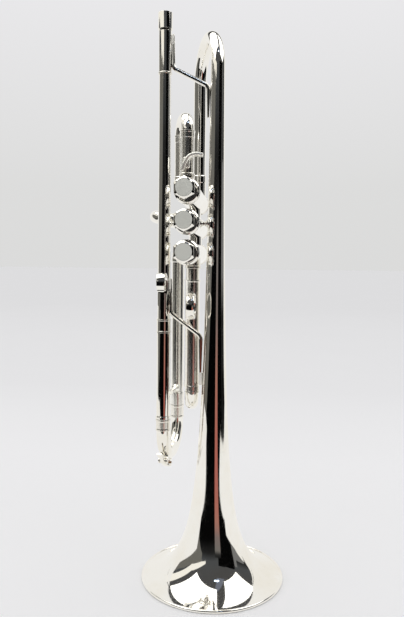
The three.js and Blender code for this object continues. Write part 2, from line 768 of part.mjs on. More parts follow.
// Fixed inner tubes stand on the casing, and the sleeves of the slide run over them.
function firstStubNear() {
  const { outer, bore } = INNER_TUBE;
  const floor = VALVE_HEIGHTS[0];
  const stub = upright(FIRST_NEAR, [
    [bore, floor],
    [FERRULE.ring, floor],
    [FERRULE.ring, FIRST.ferrule],
    [outer, FIRST.ferrule],
    [outer, FIRST.insert],
    [bore, FIRST.insert],
  ]);
  return cut(stub, casingRoom(floor));
}

function firstStubFar() {
  const { x, y } = FIRST_FAR;
  const turn = [at(x, y, FIRST.ferrule), at(x, y, 343.5), at(x + 9, y, VALVE_HEIGHTS[0] + 2)];
  const knuckle = bent(rounded(turn, 3.5), { outer: 6.2, bore: 5.2 }, 5);
  const stub = pipe(FIRST_FAR, FIRST.ferrule - 1.5, FIRST.insert, INNER_TUBE);
  return cut(join(knuckle, stub), casingRoom(VALVE_HEIGHTS[0]));
}

// Two sleeves and the crook that joins them, as one soldered slide. The crook is at the
// top of the sleeves when side is 1, and at their foot when side is -1.
function sleevedSlide(near, far, open, crook, side) {
  const { outer, bore } = OUTER_TUBE;
  const sleeves = [near, far].map((place) => {
    const outline = [
      [bore, open],
      [COLLAR_RADIUS, open],
      [COLLAR_RADIUS, open + side * 1.6],
      [outer, open + side * 2.2],
      [outer, crook - side * 3],
      [COLLAR_RADIUS, crook - side * 2.6],
      [COLLAR_RADIUS, crook],
      [BOW.bore, crook],
      [BOW.bore, crook - side * 4],
      [bore, crook - side * 4.5],
    ];
    return upright(place, side > 0 ? outline : outline.reverse());
  });
  const turn = new HalfTurn(near, far, crook - side * 0.6, side);
  return join(bent(turn, { outer: BOW.outer - 0.1, bore: BOW.bore - 0.1 }, 7), ...sleeves);
}

// The hook that the left thumb pushes to lengthen the first slide: a curved strip and
// the foot that holds it to the sleeve behind it.
const THUMB_HOOK = { width: 9, thickness: 2.4 };

function thumbHook() {
  const { width, thickness } = THUMB_HOOK;
  const points = [
    at(-6.2, -2.6, 350.5),
    at(-4.2, -2.6, 356.5),
    at(-0.6, -2.6, 361.8),
    at(5, -2.6, 364),
    at(11.2, -2.6, 363.2),
  ];
  const hook = strip(new THREE.CatmullRomCurve3(points), width, thickness, 12);
  const foot = new THREE.BoxGeometry(5.6, 4, 9).translate(-3.1, 1.6, 357.5);
  const sleeveRoom = rodAt(FIRST_NEAR, 345, 372, OUTER_TUBE.outer + GAP);
  return cut(join(hook, foot), sleeveRoom);
}

add("first_stub_near", firstStubNear(), NICKEL);
add("first_stub_far", firstStubFar(), NICKEL);
const firstOpen = FIRST.ferrule + GAP;
add("first_slide", sleevedSlide(FIRST_NEAR, FIRST_FAR, firstOpen, FIRST.crook, 1), SILVER);
add("thumb_hook", thumbHook(), SILVER);

// ---- Second valve slide -------------------------------------------------------------

// Built upright from the second casing's axis, then leaned over to the leadpipe's side.
const secondGroup = new THREE.Group();
secondGroup.position.z = VALVE_HEIGHTS[1];
secondGroup.rotation.y = THREE.MathUtils.degToRad(SECOND.tilt - 90);
horn.add(secondGroup);
const SECOND_OUTER = { outer: 5.7, bore: 5.25, ring: 6.1 };
const SECOND_INNER = { outer: 5.1, bore: 4.6 };
const SECOND_CROOK = { outer: 5.4, bore: 4.7 };

function secondOuter(place) {
  const { outer, bore, ring } = SECOND_OUTER;
  const { ferrule } = SECOND;
  const root = 5;
  const tube = upright(place, [
    [bore, root],
    [outer, root],
    [outer, ferrule - 2.4],
    [ring, ferrule - 1.8],
    [ring, ferrule],
    [bore, ferrule],
  ]);
  return cut(tube, casingRoom(0));
}

function secondSlide() {
  const { outer, bore } = SECOND_INNER;
  const places = [SECOND.near, SECOND.far].map((y) => ({ x: 0, y }));
  const { insert, ferrule, crook } = SECOND;
  const { ring } = SECOND_OUTER;
  const foot = ferrule + GAP;
  const inners = places.map((place) =>
    upright(place, [
      [bore, insert],
      [outer, insert],
      [outer, foot],
      [ring, foot],
      [ring, foot + 2],
      [bore, foot + 2],
    ]),
  );
  const turn = new HalfTurn(...places, crook, 1);
  return join(bent(turn, SECOND_CROOK, 7), ...inners);
}

add("second_outer_near", secondOuter({ x: 0, y: SECOND.near }), SILVER, secondGroup);
add("second_outer_far", secondOuter({ x: 0, y: SECOND.far }), SILVER, secondGroup);
add("second_slide", secondSlide(), SILVER, secondGroup);

// ---- Third valve slide --------------------------------------------------------------

function thirdStub(place) {
  const { outer, bore } = INNER_TUBE;
  const ceiling = VALVE_HEIGHTS[2];
  const stub = upright(place, [
    [bore, THIRD.insert],
    [outer, THIRD.insert],
    [outer, THIRD.ferrule],
    [FERRULE.ring, THIRD.ferrule],
    [FERRULE.ring, ceiling],
    [bore, ceiling],
  ]);
  return cut(stub, casingRoom(ceiling));
}

const FINGER_RING = { inner: 9.3, outer: 11.35, half: 3.4, height: 237.3, y: -12.8 };

function fingerRing() {
  const { inner, outer, half, height, y } = FINGER_RING;
  const ring = turned(
    [
      [inner, -half + 0.8],
      [inner + 0.7, -half],
      [outer - 0.5, -half],
      [outer, -half + 0.8],
      [outer, half - 0.8],
      [outer - 0.5, half],
      [inner + 0.7, half],
      [inner, half - 0.8],
    ],
    20,
  );
  const placed = ring.rotateZ(-Math.PI / 2).translate(THIRD_NEAR.x, y, height);
  const foot = new THREE.BoxGeometry(5.4, 2.4, 9).translate(THIRD_NEAR.x, y + outer + 0.3, height);
  const sleeveRoom = rodAt(THIRD_NEAR, height - 15, height + 15, OUTER_TUBE.outer + GAP);
  return cut(join(placed, foot), sleeveRoom);
}

add("third_stub_near", thirdStub(THIRD_NEAR), NICKEL);
add("third_stub_far", thirdStub(THIRD_FAR), NICKEL);
add("third_slide", sleevedSlide(THIRD_NEAR, THIRD_FAR, THIRD.open, THIRD.crook, -1), SILVER);
add("finger_ring", fingerRing(), SILVER);

// ---- The part's frame ---------------------------------------------------------------

// The origin is the middle of the bounding box's foot.
const trumpet = new THREE.Group();
trumpet.add(horn);
const centre = new THREE.Box3().setFromObject(trumpet, true).getCenter(at(0, 0, 0));
horn.position.set(-centre.x, -centre.y, 0);

export default trumpet;
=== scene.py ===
# A silver-plated trumpet that stands on its bell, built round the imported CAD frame, in metres.
from math import asin, atan2, ceil, cos, pi, radians, sin, sqrt

import bmesh
import bpy
from mathutils import Matrix, Vector


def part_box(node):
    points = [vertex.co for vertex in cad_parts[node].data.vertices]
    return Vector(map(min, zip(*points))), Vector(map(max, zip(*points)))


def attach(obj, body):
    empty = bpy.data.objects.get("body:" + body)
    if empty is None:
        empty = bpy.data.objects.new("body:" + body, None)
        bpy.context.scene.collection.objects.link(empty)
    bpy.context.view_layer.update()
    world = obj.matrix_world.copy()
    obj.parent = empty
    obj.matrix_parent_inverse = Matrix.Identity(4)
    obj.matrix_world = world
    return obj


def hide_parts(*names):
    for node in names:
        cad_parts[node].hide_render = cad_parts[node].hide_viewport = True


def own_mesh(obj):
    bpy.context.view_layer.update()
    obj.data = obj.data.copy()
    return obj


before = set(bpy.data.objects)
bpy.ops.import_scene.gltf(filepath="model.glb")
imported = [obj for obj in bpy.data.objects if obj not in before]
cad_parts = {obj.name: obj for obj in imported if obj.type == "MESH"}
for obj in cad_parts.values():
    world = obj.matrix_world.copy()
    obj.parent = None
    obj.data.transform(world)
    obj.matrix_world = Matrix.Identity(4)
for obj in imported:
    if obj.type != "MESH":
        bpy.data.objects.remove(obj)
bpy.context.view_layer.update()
MM = 0.001

# ---- Places, all read from the frame ----


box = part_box  # a node's lowest and highest corners
UP = Vector((0, 0, 1))


def centre(node):
    low, high = box(node)
    return (low + high) / 2


def radius_of(node):
    low, high = box(node)
    return (high.x - low.x) / 2


def at_height(place, z):
    return Vector((place.x, place.y, z))


LEADPIPE = centre("leadpipe")
BELL = centre("bell")
TAIL = centre("bell_tail")
TUNING_FAR = centre("tuning_inner_far")
VALVES = [centre(f"valve_casing_{n}") for n in (1, 2, 3)]
CASING_RADIUS = radius_of("valve_casing_1")

# ---- Lines, outlines and bodies drawn along them ----

WIRE_SIDES, PIN_SIDES, ROD_SIDES, BARREL_SIDES, SMALL_SIDES = 10, 24, 32, 40, 48
TUBE_SIDES, FINE_SIDES, DRUM_SIDES, BELL_SIDES = 64, 96, 128, 192
ARC_STEPS = 4
EASE = 0.25 * MM
ON_AXIS = 1e-7
SHARP = radians(38)


class Route:
    """A line in space with a frame that follows it without twisting."""

    def __init__(self, points, side=None):
        self.points = [Vector(p) for p in points]
        self.lengths = [0.0]
        for a, b in zip(self.points, self.points[1:]):
            self.lengths.append(self.lengths[-1] + (b - a).length)
        steps = [(b - a).normalized() for a, b in zip(self.points, self.points[1:])]
        ahead = [steps[0], *[(a + b).normalized() for a, b in zip(steps, steps[1:])], steps[-1]]
        first = Vector(side) if side else ahead[0].orthogonal()
        across = (first - ahead[0] * first.dot(ahead[0])).normalized()
        self.frames = []
        for heading in ahead:
            across = (across - heading * across.dot(heading)).normalized()
            self.frames.append((across, heading.cross(across), heading))

    @property
    def length(self):
        return self.lengths[-1]

    def station(self, s):
        """The place, and the three axes, at a distance along the line or beyond its ends."""
        if s <= 0:
            return self.points[0] + self.frames[0][2] * s, *self.frames[0]
        if s >= self.length:
            return self.points[-1] + self.frames[-1][2] * (s - self.length), *self.frames[-1]
        i = next(k for k, far in enumerate(self.lengths) if far > s) - 1
        t = (s - self.lengths[i]) / (self.lengths[i + 1] - self.lengths[i])
        place = self.points[i].lerp(self.points[i + 1], t)
        axes = [a.lerp(b, t).normalized() for a, b in zip(self.frames[i], self.frames[i + 1])]
        return place, *axes


def upright(place):
    """A vertical line on which a distance is a height."""
    return Route([(place.x, place.y, 0), (place.x, place.y, 1)], side=(1, 0, 0))


def valve_line(valve):
    """A line along a valve on which a distance is a depth."""
    return Route([(valve.x, 0, valve.z), (valve.x, 1, valve.z)], side=(1, 0, 0))


def half_turn(near, far, rise, leg=0.0, steps=64):
    """Points of half a turn between two legs, bulging the way that rise points."""
    middle = (near + far) / 2
    spoke = near - middle
    points = []
    for i in range(steps + 1):
        turn = pi * i / steps
        points.append(middle + spoke * cos(turn) + rise * (spoke.length * sin(turn)))
    return [points[0] - rise * leg, *points, points[-1] - rise * leg] if leg else points


def rounded(corners, setback, steps=10):
    """Points of straight runs whose corners are rounded by a setback."""
    corners = [Vector(c) for c in corners]
    points = [corners[0]]
    for before, corner, after in zip(corners, corners[1:], corners[2:]):
        a = corner + (before - corner).normalized() * setback
        b = corner + (after - corner).normalized() * setback
        for i in range(steps + 1):
            t = i / steps
            points.append(a * (1 - t) ** 2 + corner * 2 * t * (1 - t) + b * t**2)
    return [*points, corners[-1]]


def smooth_line(points, steps=8):
    """A Catmull-Rom curve through points."""
    points = [Vector(p) for p in points]
    padded = [points[0] * 2 - points[1], *points, points[-1] * 2 - points[-2]]
    made = []
    for a, b, c, d in zip(padded, padded[1:], padded[2:], padded[3:]):
        for i in range(steps):
            t = i / steps
            made.append(
                (b * 2 + (c - a) * t + (a * 2 - b * 5 + c * 4 - d) * t**2
                 + (b * 3 - a - c * 3 + d) * t**3) / 2
            )
    return [*made, points[-1]]


def eased(outline, ease=EASE):
    """Rounds an outline's corners. A point past each arc keeps the flat stretches flat."""
    outline = [Vector(p) for p in outline]
    made = []
    for i, corner in enumerate(outline):
        before = outline[i - 1] - corner
        after = outline[(i + 1) % len(outline)] - corner
        turn = pi - before.angle(after, pi)
        if corner.x < ON_AXIS or turn < radians(18):
            made.append(corner)
            continue
        reach = min(ease, 0.4 * before.length, 0.4 * after.length)
        a = corner + before.normalized() * reach
        b = corner + after.normalized() * reach
        made.append(corner + before.normalized() * reach * 1.2)
        for k in range(ARC_STEPS + 1):
            t = k / ARC_STEPS
            made.append(a * (1 - t) ** 2 + corner * 2 * t * (1 - t) + b * t**2)
        made.append(corner + after.normalized() * reach * 1.2)
    return made


def divided(outline, step):
    """Breaks an outline's long runs into steps, so that they can follow a bend."""
    outline = [Vector(p) for p in outline]
    made = []
    for i, a in enumerate(outline):
        b = outline[(i + 1) % len(outline)]
        count = max(1, ceil((b - a).length / step))
        made += [a.lerp(b, k / count) for k in range(count)]
    return made


def mesh_of(bm):
    bmesh.ops.recalc_face_normals(bm, faces=bm.faces)
    mesh = bpy.data.meshes.new("shape")
    bm.to_mesh(mesh)
    bm.free()
    return mesh


def drawn(route, outline, sides=TUBE_SIDES, shape=None):
    """A closed body: an outline of (radius, distance) pairs turned about a line. shape
    gives a factor on the radius at an angle, a radius and a distance."""
    bm = bmesh.new()
    rings = []
    for radius, s in outline:
        place, across, up, _ = route.station(s)
        if radius < ON_AXIS:
            rings.append([bm.verts.new(place)])
            continue
        ring = []
        for k in range(sides):
            angle = 2 * pi * k / sides
            r = radius * (shape(angle, radius, s) if shape else 1)
            ring.append(bm.verts.new(place + (across * cos(angle) + up * sin(angle)) * r))
        rings.append(ring)
    for a, b in zip(rings, rings[1:] + rings[:1]):
        if len(a) == 1 and len(b) == 1:
            continue
        for k in range(sides):
            n = (k + 1) % sides
            corners = [a[k % len(a)], a[n % len(a)], b[n % len(b)], b[k % len(b)]]
            bm.faces.new(list(dict.fromkeys(corners)))
    return mesh_of(bm)


def turned(line, outline, ease=EASE, sides=FINE_SIDES):
    """A body turned about a straight line, with eased edges."""
    return drawn(line, eased(outline, ease), sides)


def bent(route, outline, step, ease=EASE, sides=TUBE_SIDES):
    """A body drawn along a bend, in steps, with eased edges."""
    return drawn(route, divided(eased(outline, ease), step), sides)


def bridge(bm, rings):
    """Faces between neighbouring rings of points."""
    for a, b in zip(rings, rings[1:]):
        for k in range(len(a)):
            n = (k + 1) % len(a)
            bm.faces.new((a[k], a[n], b[n], b[k]))


def band(route, width, thickness, round_off):
    """A flat strip with rounded edges along a line. width depends on the share along it."""
    bm = bmesh.new()
    count = max(2, ceil(route.length / (0.5 * MM)))
    arc = 4
    rings = []
    for i in range(count + 1):
        share = i / count
        place, across, up, _ = route.station(share * route.length)
        half = width(share) / 2
        ring = []
        for sx, sy in ((1, 1), (-1, 1), (-1, -1), (1, -1)):
            for k in range(arc + 1):
                angle = atan2(sy, sx) - pi / 4 + pi / 2 * k / arc
                x = sx * (half - round_off) + round_off * cos(angle)
                y = sy * (thickness / 2 - round_off) + round_off * sin(angle)
                ring.append(bm.verts.new(place + across * x + up * y))
        rings.append(ring)
    bridge(bm, rings)
    bm.faces.new(rings[0])
    bm.faces.new(rings[-1])
    return mesh_of(bm)


def block(size, place, turn=None, ease=0.4 * MM):
    """A box with rounded edges."""
    bm = bmesh.new()
    bmesh.ops.create_cube(bm, size=1)
    bmesh.ops.scale(bm, vec=Vector(size), verts=bm.verts)
    bmesh.ops.bevel(bm, geom=bm.edges[:], offset=ease, segments=3, affect="EDGES", profile=0.5)
    bm.transform(Matrix.Translation(place) @ (turn or Matrix.Identity(4)))
    return mesh_of(bm)


def as_object(mesh, name="tool"):
    made = bpy.data.objects.new(name, mesh)
    bpy.context.scene.collection.objects.link(made)
    return made


def combined(first, others, operation):
    """One closed mesh from several, by union, difference or intersection."""
    body = as_object(first)
    tools = [as_object(m) for m in others]
    for tool in tools:
        change = body.modifiers.new("change", "BOOLEAN")
        change.operation = operation
        change.solver = "EXACT"
        change.object = tool
    bpy.context.view_layer.update()
    done = body.evaluated_get(bpy.context.evaluated_depsgraph_get())
    mesh = bpy.data.meshes.new_from_object(done)
    for leftover in (body, *tools):
        bpy.data.objects.remove(leftover)
    return mesh


def joined(first, *others):
    return combined(first, others, "UNION")


def cut(first, *others):
    return combined(first, others, "DIFFERENCE")


def piece(name, mesh, material, body="horn", nodes=None):
    """A shown piece that rides on a body. It stands for the CAD nodes given, or else for the
    one that has its name."""
    mesh.name = name
    mesh.materials.clear()
    mesh.materials.append(material)
    mesh.shade_smooth()
    mesh.set_sharp_from_angle(angle=SHARP)
    made = as_object(mesh, name)
    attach(made, body)
    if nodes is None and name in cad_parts:
        nodes = (name,)
    if nodes:
        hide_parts(*nodes)
    return made


# ---- Materials ----


class Nodes:
    """A short way to write a material's nodes."""

    def __init__(self, name):
        self.material = bpy.data.materials.new(name)
        self.material.use_nodes = True
        self.tree = self.material.node_tree
        self.shader = self.tree.nodes["Principled BSDF"]
        self.place = self.add("ShaderNodeTexCoord").outputs["Object"]

    def add(self, kind, inputs=None, **values):
        made = self.tree.nodes.new(kind)
        for key, value in values.items():
            setattr(made, key, value)
        for key, value in (inputs or {}).items():
            if isinstance(value, bpy.types.NodeSocket):
                self.tree.links.new(value, made.inputs[key])
            else:
                made.inputs[key].default_value = value
        return made

    def stretched(self, scale):
        return self.add("ShaderNodeMapping", {"Vector": self.place, "Scale": scale}).outputs[0]

    def noise(self, scale, detail=4.0, rough=0.6, along=(1, 1, 1)):
        inputs = {"Vector": self.stretched(along), "Scale": scale, "Detail": detail, "Roughness": rough}
        return self.add("ShaderNodeTexNoise", inputs).outputs["Fac"]

    def ranged(self, value, low, high, start=0.3, end=0.7):
        inputs = {"Value": value, "From Min": start, "From Max": end, "To Min": low, "To Max": high}
        return self.add("ShaderNodeMapRange", inputs).outputs["Result"]

    def mixed(self, share, a, b):
        made = self.add("ShaderNodeMix", data_type="RGBA")
        self.tree.links.new(share, made.inputs["Factor"])
        made.inputs["A"].default_value = (*a, 1)
        made.inputs["B"].default_value = (*b, 1)
        return made.outputs["Result"]

    def bump(self, height, strength, distance):
        inputs = {"Height": height, "Strength": strength, "Distance": distance}
        return self.add("ShaderNodeBump", inputs).outputs["Normal"]

    def set(self, **sockets):
        for key, value in sockets.items():
            socket = self.shader.inputs[key.replace("_", " ")]
            if isinstance(value, bpy.types.NodeSocket):
                self.tree.links.new(value, socket)
            else:
                socket.default_value = value
        return self.material


def plated(name, clean, dull, roughness, grain=0.02, along=(1, 1, 1), metallic=1.0):
    """Bright plate: slow changes of tone where it has dulled, and faint polishing marks."""
    n = Nodes(name)
    tone = n.ranged(n.noise(28, detail=3), 0, 1, 0.42, 0.75)
    low, high = roughness
    return n.set(
        Metallic=metallic,
        Base_Color=n.mixed(tone, clean, dull),
        Roughness=n.ranged(n.noise(420, along=along), low, high),
        Normal=n.bump(n.noise(900, along=along), grain, 0.02 * MM),
    )


def felt(name, light, dark):
    n = Nodes(name)
    return n.set(
        Base_Color=n.mixed(n.ranged(n.noise(1500), 0, 1), light, dark),
        Roughness=0.95,
        Sheen_Weight=0.6,
        Sheen_Roughness=0.5,
        Normal=n.bump(n.noise(2600), 0.6, 0.2 * MM),
    )


def cork(name):
    n = Nodes(name)
    cells = n.add("ShaderNodeTexVoronoi", {"Vector": n.place, "Scale": 900.0}).outputs["Distance"]
    return n.set(
        Base_Color=n.mixed(n.ranged(cells, 0, 1, 0.1, 0.6), (0.52, 0.33, 0.17), (0.26, 0.14, 0.06)),
        Roughness=n.ranged(n.noise(700), 0.75, 0.95),
        Normal=n.bump(cells, 0.4, 0.15 * MM),
    )


SILVER_TONE, DULL_TONE = (0.94, 0.93, 0.9), (0.9, 0.87, 0.8)
SILVER = plated("silver_plate", SILVER_TONE, DULL_TONE, (0.03, 0.075))
SATIN_TONE, SATIN_DULL = (0.8, 0.81, 0.75), (0.72, 0.72, 0.66)
SILVER_BRUSHED = plated("satin_silver", SATIN_TONE, SATIN_DULL, (0.5, 0.6), 0.1, metallic=0.45)
NICKEL = plated("nickel_silver", (0.9, 0.88, 0.83), (0.84, 0.81, 0.74), (0.18, 0.26), 0.04, (1, 1, 0.06))
# Painted shade: a dark plate laid in the receiver's groove, standing in for the shade in its recess.
GROOVE_SHADE = plated("painted_groove_shade", (0.1, 0.095, 0.085), (0.05, 0.045, 0.04), (0.3, 0.45), 0.05)
SILVER_WORN = plated("worn_plate", SILVER_TONE, DULL_TONE, (0.19, 0.27), 0.03, (1, 1, 0.06))
PALE_TONE = (0.95, 0.94, 0.88)
SILVER_MATTE = plated("matte_plate", PALE_TONE, DULL_TONE, (0.4, 0.5), 0.05, metallic=0.35)
SILVER_SATIN = plated("soft_plate", PALE_TONE, DULL_TONE, (0.26, 0.34), 0.04, metallic=0.75)
PISTON_METAL = plated("piston_metal", (0.8, 0.79, 0.76), (0.72, 0.71, 0.67), (0.15, 0.22), 0.06)
SPRING_METAL = plated("spring_metal", (0.6, 0.6, 0.61), (0.5, 0.49, 0.48), (0.22, 0.34), 0.05)
FELT = felt("felt", (0.03, 0.03, 0.032), (0.012, 0.012, 0.013))
CORK = cork("cork")

# ---- Leadpipe ----

RECEIVER_STEP = 0.65 * MM
LEADPIPE_TAPER = 0.8 * MM


def wall(low, high, outer, bore=0):
    """The outline of a plain tube, or of a rod where there is no bore."""
    return [(bore, low), (outer, low), (outer, high), (bore, high)]


def far_half(half, length):
    """The outline that mirrors a half one at the far end of a line."""
    return [(r, length - s) for r, s in reversed(half)]


def ring_outline(inner, outer, low, high, bead, lip):
    """The outline of a ferrule: a sleeve with a raised bead at each end."""
    wide = outer + bead
    return [
        (inner, low), (wide, low), (wide, low + lip), (outer, low + lip + bead),
        (outer, high - lip - bead), (wide, high - lip), (wide, high), (inner, high),
    ]


def receiver():
    """A turned socket for a mouthpiece: a collar, a fine groove, a body and a ring at its foot."""
    low, high = box("mouthpiece_receiver")
    foot, top = low.z, high.z
    wide = radius_of("mouthpiece_receiver")
    body, ring = wide - RECEIVER_STEP, wide - 0.15 * MM
    mouth, narrow, pipe_seat = 4.95 * MM, 4.45 * MM, 5 * MM
    groove_depth = 1 * MM
    groove = top - 13.3 * MM
    socket = top - 30.8 * MM
    outline = [
        (pipe_seat, foot), (ring, foot), (ring, foot + 0.9 * MM), (body, foot + 1.3 * MM),
        (body, groove - 1.5 * MM), (body - groove_depth, groove - 1.4 * MM),
        (body - groove_depth, groove - 0.1 * MM), (wide, groove), (wide, top),
        (mouth, top), (narrow, socket), (pipe_seat, socket - 0.5 * MM),
    ]
    line = upright(LEADPIPE)
    piece("mouthpiece_receiver", turned(line, outline, 0.15 * MM), SILVER)
    # The groove's dark lining is painted shade in its recess.
    lining = wall(groove - 1.45 * MM, groove - 0.05 * MM, body - 0.6 * MM, body - 1.2 * MM)
    piece("receiver_groove", turned(line, lining, 0.1 * MM), GROOVE_SHADE)


def leadpipe():
    low, high = box("leadpipe")
    wide = radius_of("leadpipe")
    bore_foot, bore_top = 5.1 * MM, 4.3 * MM
    outline = [(bore_foot, low.z), (wide, low.z), (wide - LEADPIPE_TAPER, high.z), (bore_top, high.z)]
    piece("leadpipe", turned(upright(LEADPIPE), outline, sides=TUBE_SIDES), SILVER)


def leadpipe_ferrule():
    low, high = box("leadpipe_ferrule")
    bead = 0.25 * MM
    sleeve = radius_of("leadpipe_ferrule") - bead
    outline = ring_outline(5.75 * MM, sleeve, low.z, high.z, bead, 1.2 * MM)
    piece("leadpipe_ferrule", turned(upright(LEADPIPE), outline, 0.2 * MM), SILVER)


def leadpipe_radius(z):
    """The leadpipe's outer radius at a height: it grows a little towards its lower end."""
    low, high = box("leadpipe")
    return radius_of("leadpipe") - LEADPIPE_TAPER * (z - low.z) / (high.z - low.z)


def pinky_hook():
    """A strip that stands off the leadpipe and curls over, on a pointed base plate."""
    low, high = box("pinky_hook")
    x = LEADPIPE.x
    face = LEADPIPE.y - leadpipe_radius(high.z)
    tip = low.y + 1.1 * MM
    stand = 1.2 * MM
    curl = (face - stand - tip) / 2
    top = high.z - curl - 0.7 * MM
    lip_y, lip_z = tip + 2.4 * MM, high.z - 14.2 * MM
    points = [(x, face - 0.9 * MM, top - 9 * MM), (x, face - 0.9 * MM, top - 4 * MM)]
    for angle in range(0, 181, 15):
        turn = radians(angle)
        points.append((x, face - stand - curl + curl * cos(turn), top + curl * sin(turn)))
    points += [(x, tip + 0.3 * MM, top - 2.6 * MM), (x, lip_y, lip_z)]

    def width(share):
        return (8.6 - 2.2 * share**2) * MM

    curled = band(Route(smooth_line(points), side=(1, 0, 0)), width, 1.6 * MM, 0.7 * MM)
    reach = 3 * MM
    lip_line = Route([(x - reach, lip_y, lip_z), (x + reach, lip_y, lip_z)])
    lip = turned(lip_line, wall(0, 2 * reach, 1.3 * MM), 0.6 * MM, ROD_SIDES)
    plate = shield(low.z, high.z - 8.2 * MM)
    piece("pinky_hook", joined(plate, curled, lip), SILVER)


def shield(low, high):
    """A thin saddle on the leadpipe's front with a pointed lower end."""
    shell = leadpipe_radius(low) + 0.02 * MM
    thick = 0.8 * MM
    bm = bmesh.new()
    rows, columns = 40, 20
    point = 8 * MM
    grids = []
    for layer in (shell, shell + thick):
        grid = []
        for i in range(rows + 1):
            z = low + (high - low) * (i / rows) ** 1.4
            spread = min(1.0, (z - low + 0.4 * MM) / point)
            half = asin(4.6 * MM * spread / layer)
            line = []
            for k in range(columns + 1):
                angle = half * (2 * k / columns - 1)
                place = (LEADPIPE.x + layer * sin(angle), LEADPIPE.y - layer * cos(angle), z)
                line.append(bm.verts.new(place))
            grid.append(line)
        grids.append(grid)
    inner, outer = grids
    for i in range(rows):
        for k in range(columns):
            for grid in grids:
                bm.faces.new((grid[i][k], grid[i][k + 1], grid[i + 1][k + 1], grid[i + 1][k]))
    edge = [(0, k) for k in range(columns)] + [(i, columns) for i in range(rows)]
    edge += [(rows, k) for k in range(columns, 0, -1)] + [(i, 0) for i in range(rows, 0, -1)]
    for (i, k), (m, n) in zip(edge, edge[1:] + edge[:1]):
        bm.faces.new((inner[i][k], inner[m][n], outer[m][n], outer[i][k]))
    return mesh_of(bm)


# ---- Bell ----

FLARE_OFFSET = 11.5 * MM
FLARE_POWER = 0.64
BELL_WALL, TAIL_WALL = 0.55 * MM, 0.5 * MM
BEAD = 1.3 * MM
BEAD_TOP = 1.44 * MM
RIM = radius_of("bell")
BOW_HEIGHT = box("bell")[1].z


def flare_radius(z):
    """The bell's outer radius at a height above the rim's bead."""
    return RIM * (FLARE_OFFSET / (max(z - BEAD_TOP, 0) + FLARE_OFFSET)) ** FLARE_POWER


def bell():
    """The flare, the stem, the bow and the tail are one tube. Its rim is rolled over a wire."""
    tail_end = box("bell_tail")[0].z
    bow = half_turn(at_height(BELL, BOW_HEIGHT), at_height(TAIL, BOW_HEIGHT), UP, steps=96)
    route = Route([at_height(BELL, 0), *bow, at_height(TAIL, tail_end)], side=(1, 0, 0))
    bow_end = route.length - (BOW_HEIGHT - tail_end)

    wire = RIM - BEAD
    outline = []
    for angle in range(-150, 151, 15):
        turn = radians(angle)
        outline.append((wire + BEAD * cos(turn), BEAD * (1 + sin(turn))))
    flare_foot = 2.0 * MM
    steps = 150
    heights = [flare_foot + (BOW_HEIGHT - flare_foot) * (i / steps) ** 2.2 for i in range(1, steps + 1)]
    outline += [(flare_radius(z), z) for z in heights]
    stem, tail = flare_radius(BOW_HEIGHT), radius_of("bell_tail")
    bends = 90
    taper = []
    for i in range(1, bends + 1):
        t = i / bends
        taper.append((stem + (tail - stem) * t, BOW_HEIGHT + (bow_end - BOW_HEIGHT) * t))
    outline += [*taper, (tail, route.length), (tail - TAIL_WALL, route.length)]
    outline += [(r - TAIL_WALL, s) for r, s in reversed(taper)]
    outline += [(flare_radius(z) - BELL_WALL, z) for z in reversed(heights)]
    piece("bell", drawn(route, outline, BELL_SIDES), SILVER, nodes=("bell", "bell_bow", "bell_tail"))


def onto_casings(mesh, *seats):
    """A mesh cut to fit the casings that it is soldered onto."""
    reach = 0.2
    seat = wall(-reach, reach, CASING_RADIUS - 0.6 * MM)
    return cut(mesh, *(drawn(valve_line(valve), seat, DRUM_SIDES) for valve in seats))


def bell_tail_ferrule():
    wide = radius_of("bell_tail_ferrule")
    top = box("bell_tail_ferrule")[1].z
    foot = VALVES[0].z
    outline = [
        (5 * MM, foot), (wide - 0.3 * MM, foot), (wide - 0.3 * MM, top - 7.2 * MM),
        (wide, top - 6.4 * MM), (wide, top - 0.9 * MM), (wide - 0.35 * MM, top),
        (5.95 * MM, top), (5 * MM, top - 1 * MM),
    ]
    mesh = onto_casings(turned(upright(TAIL), outline), VALVES[0])
    piece("bell_tail_ferrule", mesh, SILVER)


# ---- Braces between the leadpipe and the bell ----

BRACE_OFFSET = 1.5 * MM
BRACE_MIDDLE, BRACE_TIP = 1.9 * MM, 0.9 * MM
PAD_DEPTH = 3.4 * MM


def z_brace(name, y, left, right, left_radius, right_radius, lower_pad=None):
    """A rod that lies along one tube, crosses over and lies along the other. Its ends taper,
    and pads join it to the tubes."""

    def reach(radius):
        return sqrt((radius + BRACE_OFFSET) ** 2 - (y - LEADPIPE.y) ** 2)

    left_x = LEADPIPE.x + reach(left_radius)
    right_x = BELL.x - reach(right_radius)
    corners = [(left_x, y, left[0]), (left_x, y, left[1]), (right_x, y, right[0]), (right_x, y, right[1])]
    route = Route(rounded(corners, 3.2 * MM), side=(0, 1, 0))
    length = route.length
    first, last = left[0] - left[1], right[0] - right[1]
    steps = 8
    cap = []
    for i in range(steps + 1):
        turn = pi / 2 * i / steps
        cap.append((BRACE_TIP * sin(turn), BRACE_TIP * (1 - cos(turn))))
    outline = cap + [(BRACE_MIDDLE, first), (BRACE_MIDDLE, length - last)]
    outline += far_half(cap, length)
    piece(name, drawn(route, divided(outline, 1.5 * MM), ROD_SIDES), SILVER)
    place = Vector((left_x - 0.8 * MM, y, left[0] - 5 * MM))
    pads = block((2.2 * MM, PAD_DEPTH, 8 * MM), place, ease=0.9 * MM)
    if lower_pad:
        place = Vector((right_x + 0.3 * MM, y, right[1] - 9 * MM + lower_pad / 2))
        pads = joined(pads, block((3.2 * MM, PAD_DEPTH, lower_pad), place, ease=1.4 * MM))
    piece(f"{name}_pads", pads, SILVER_MATTE)


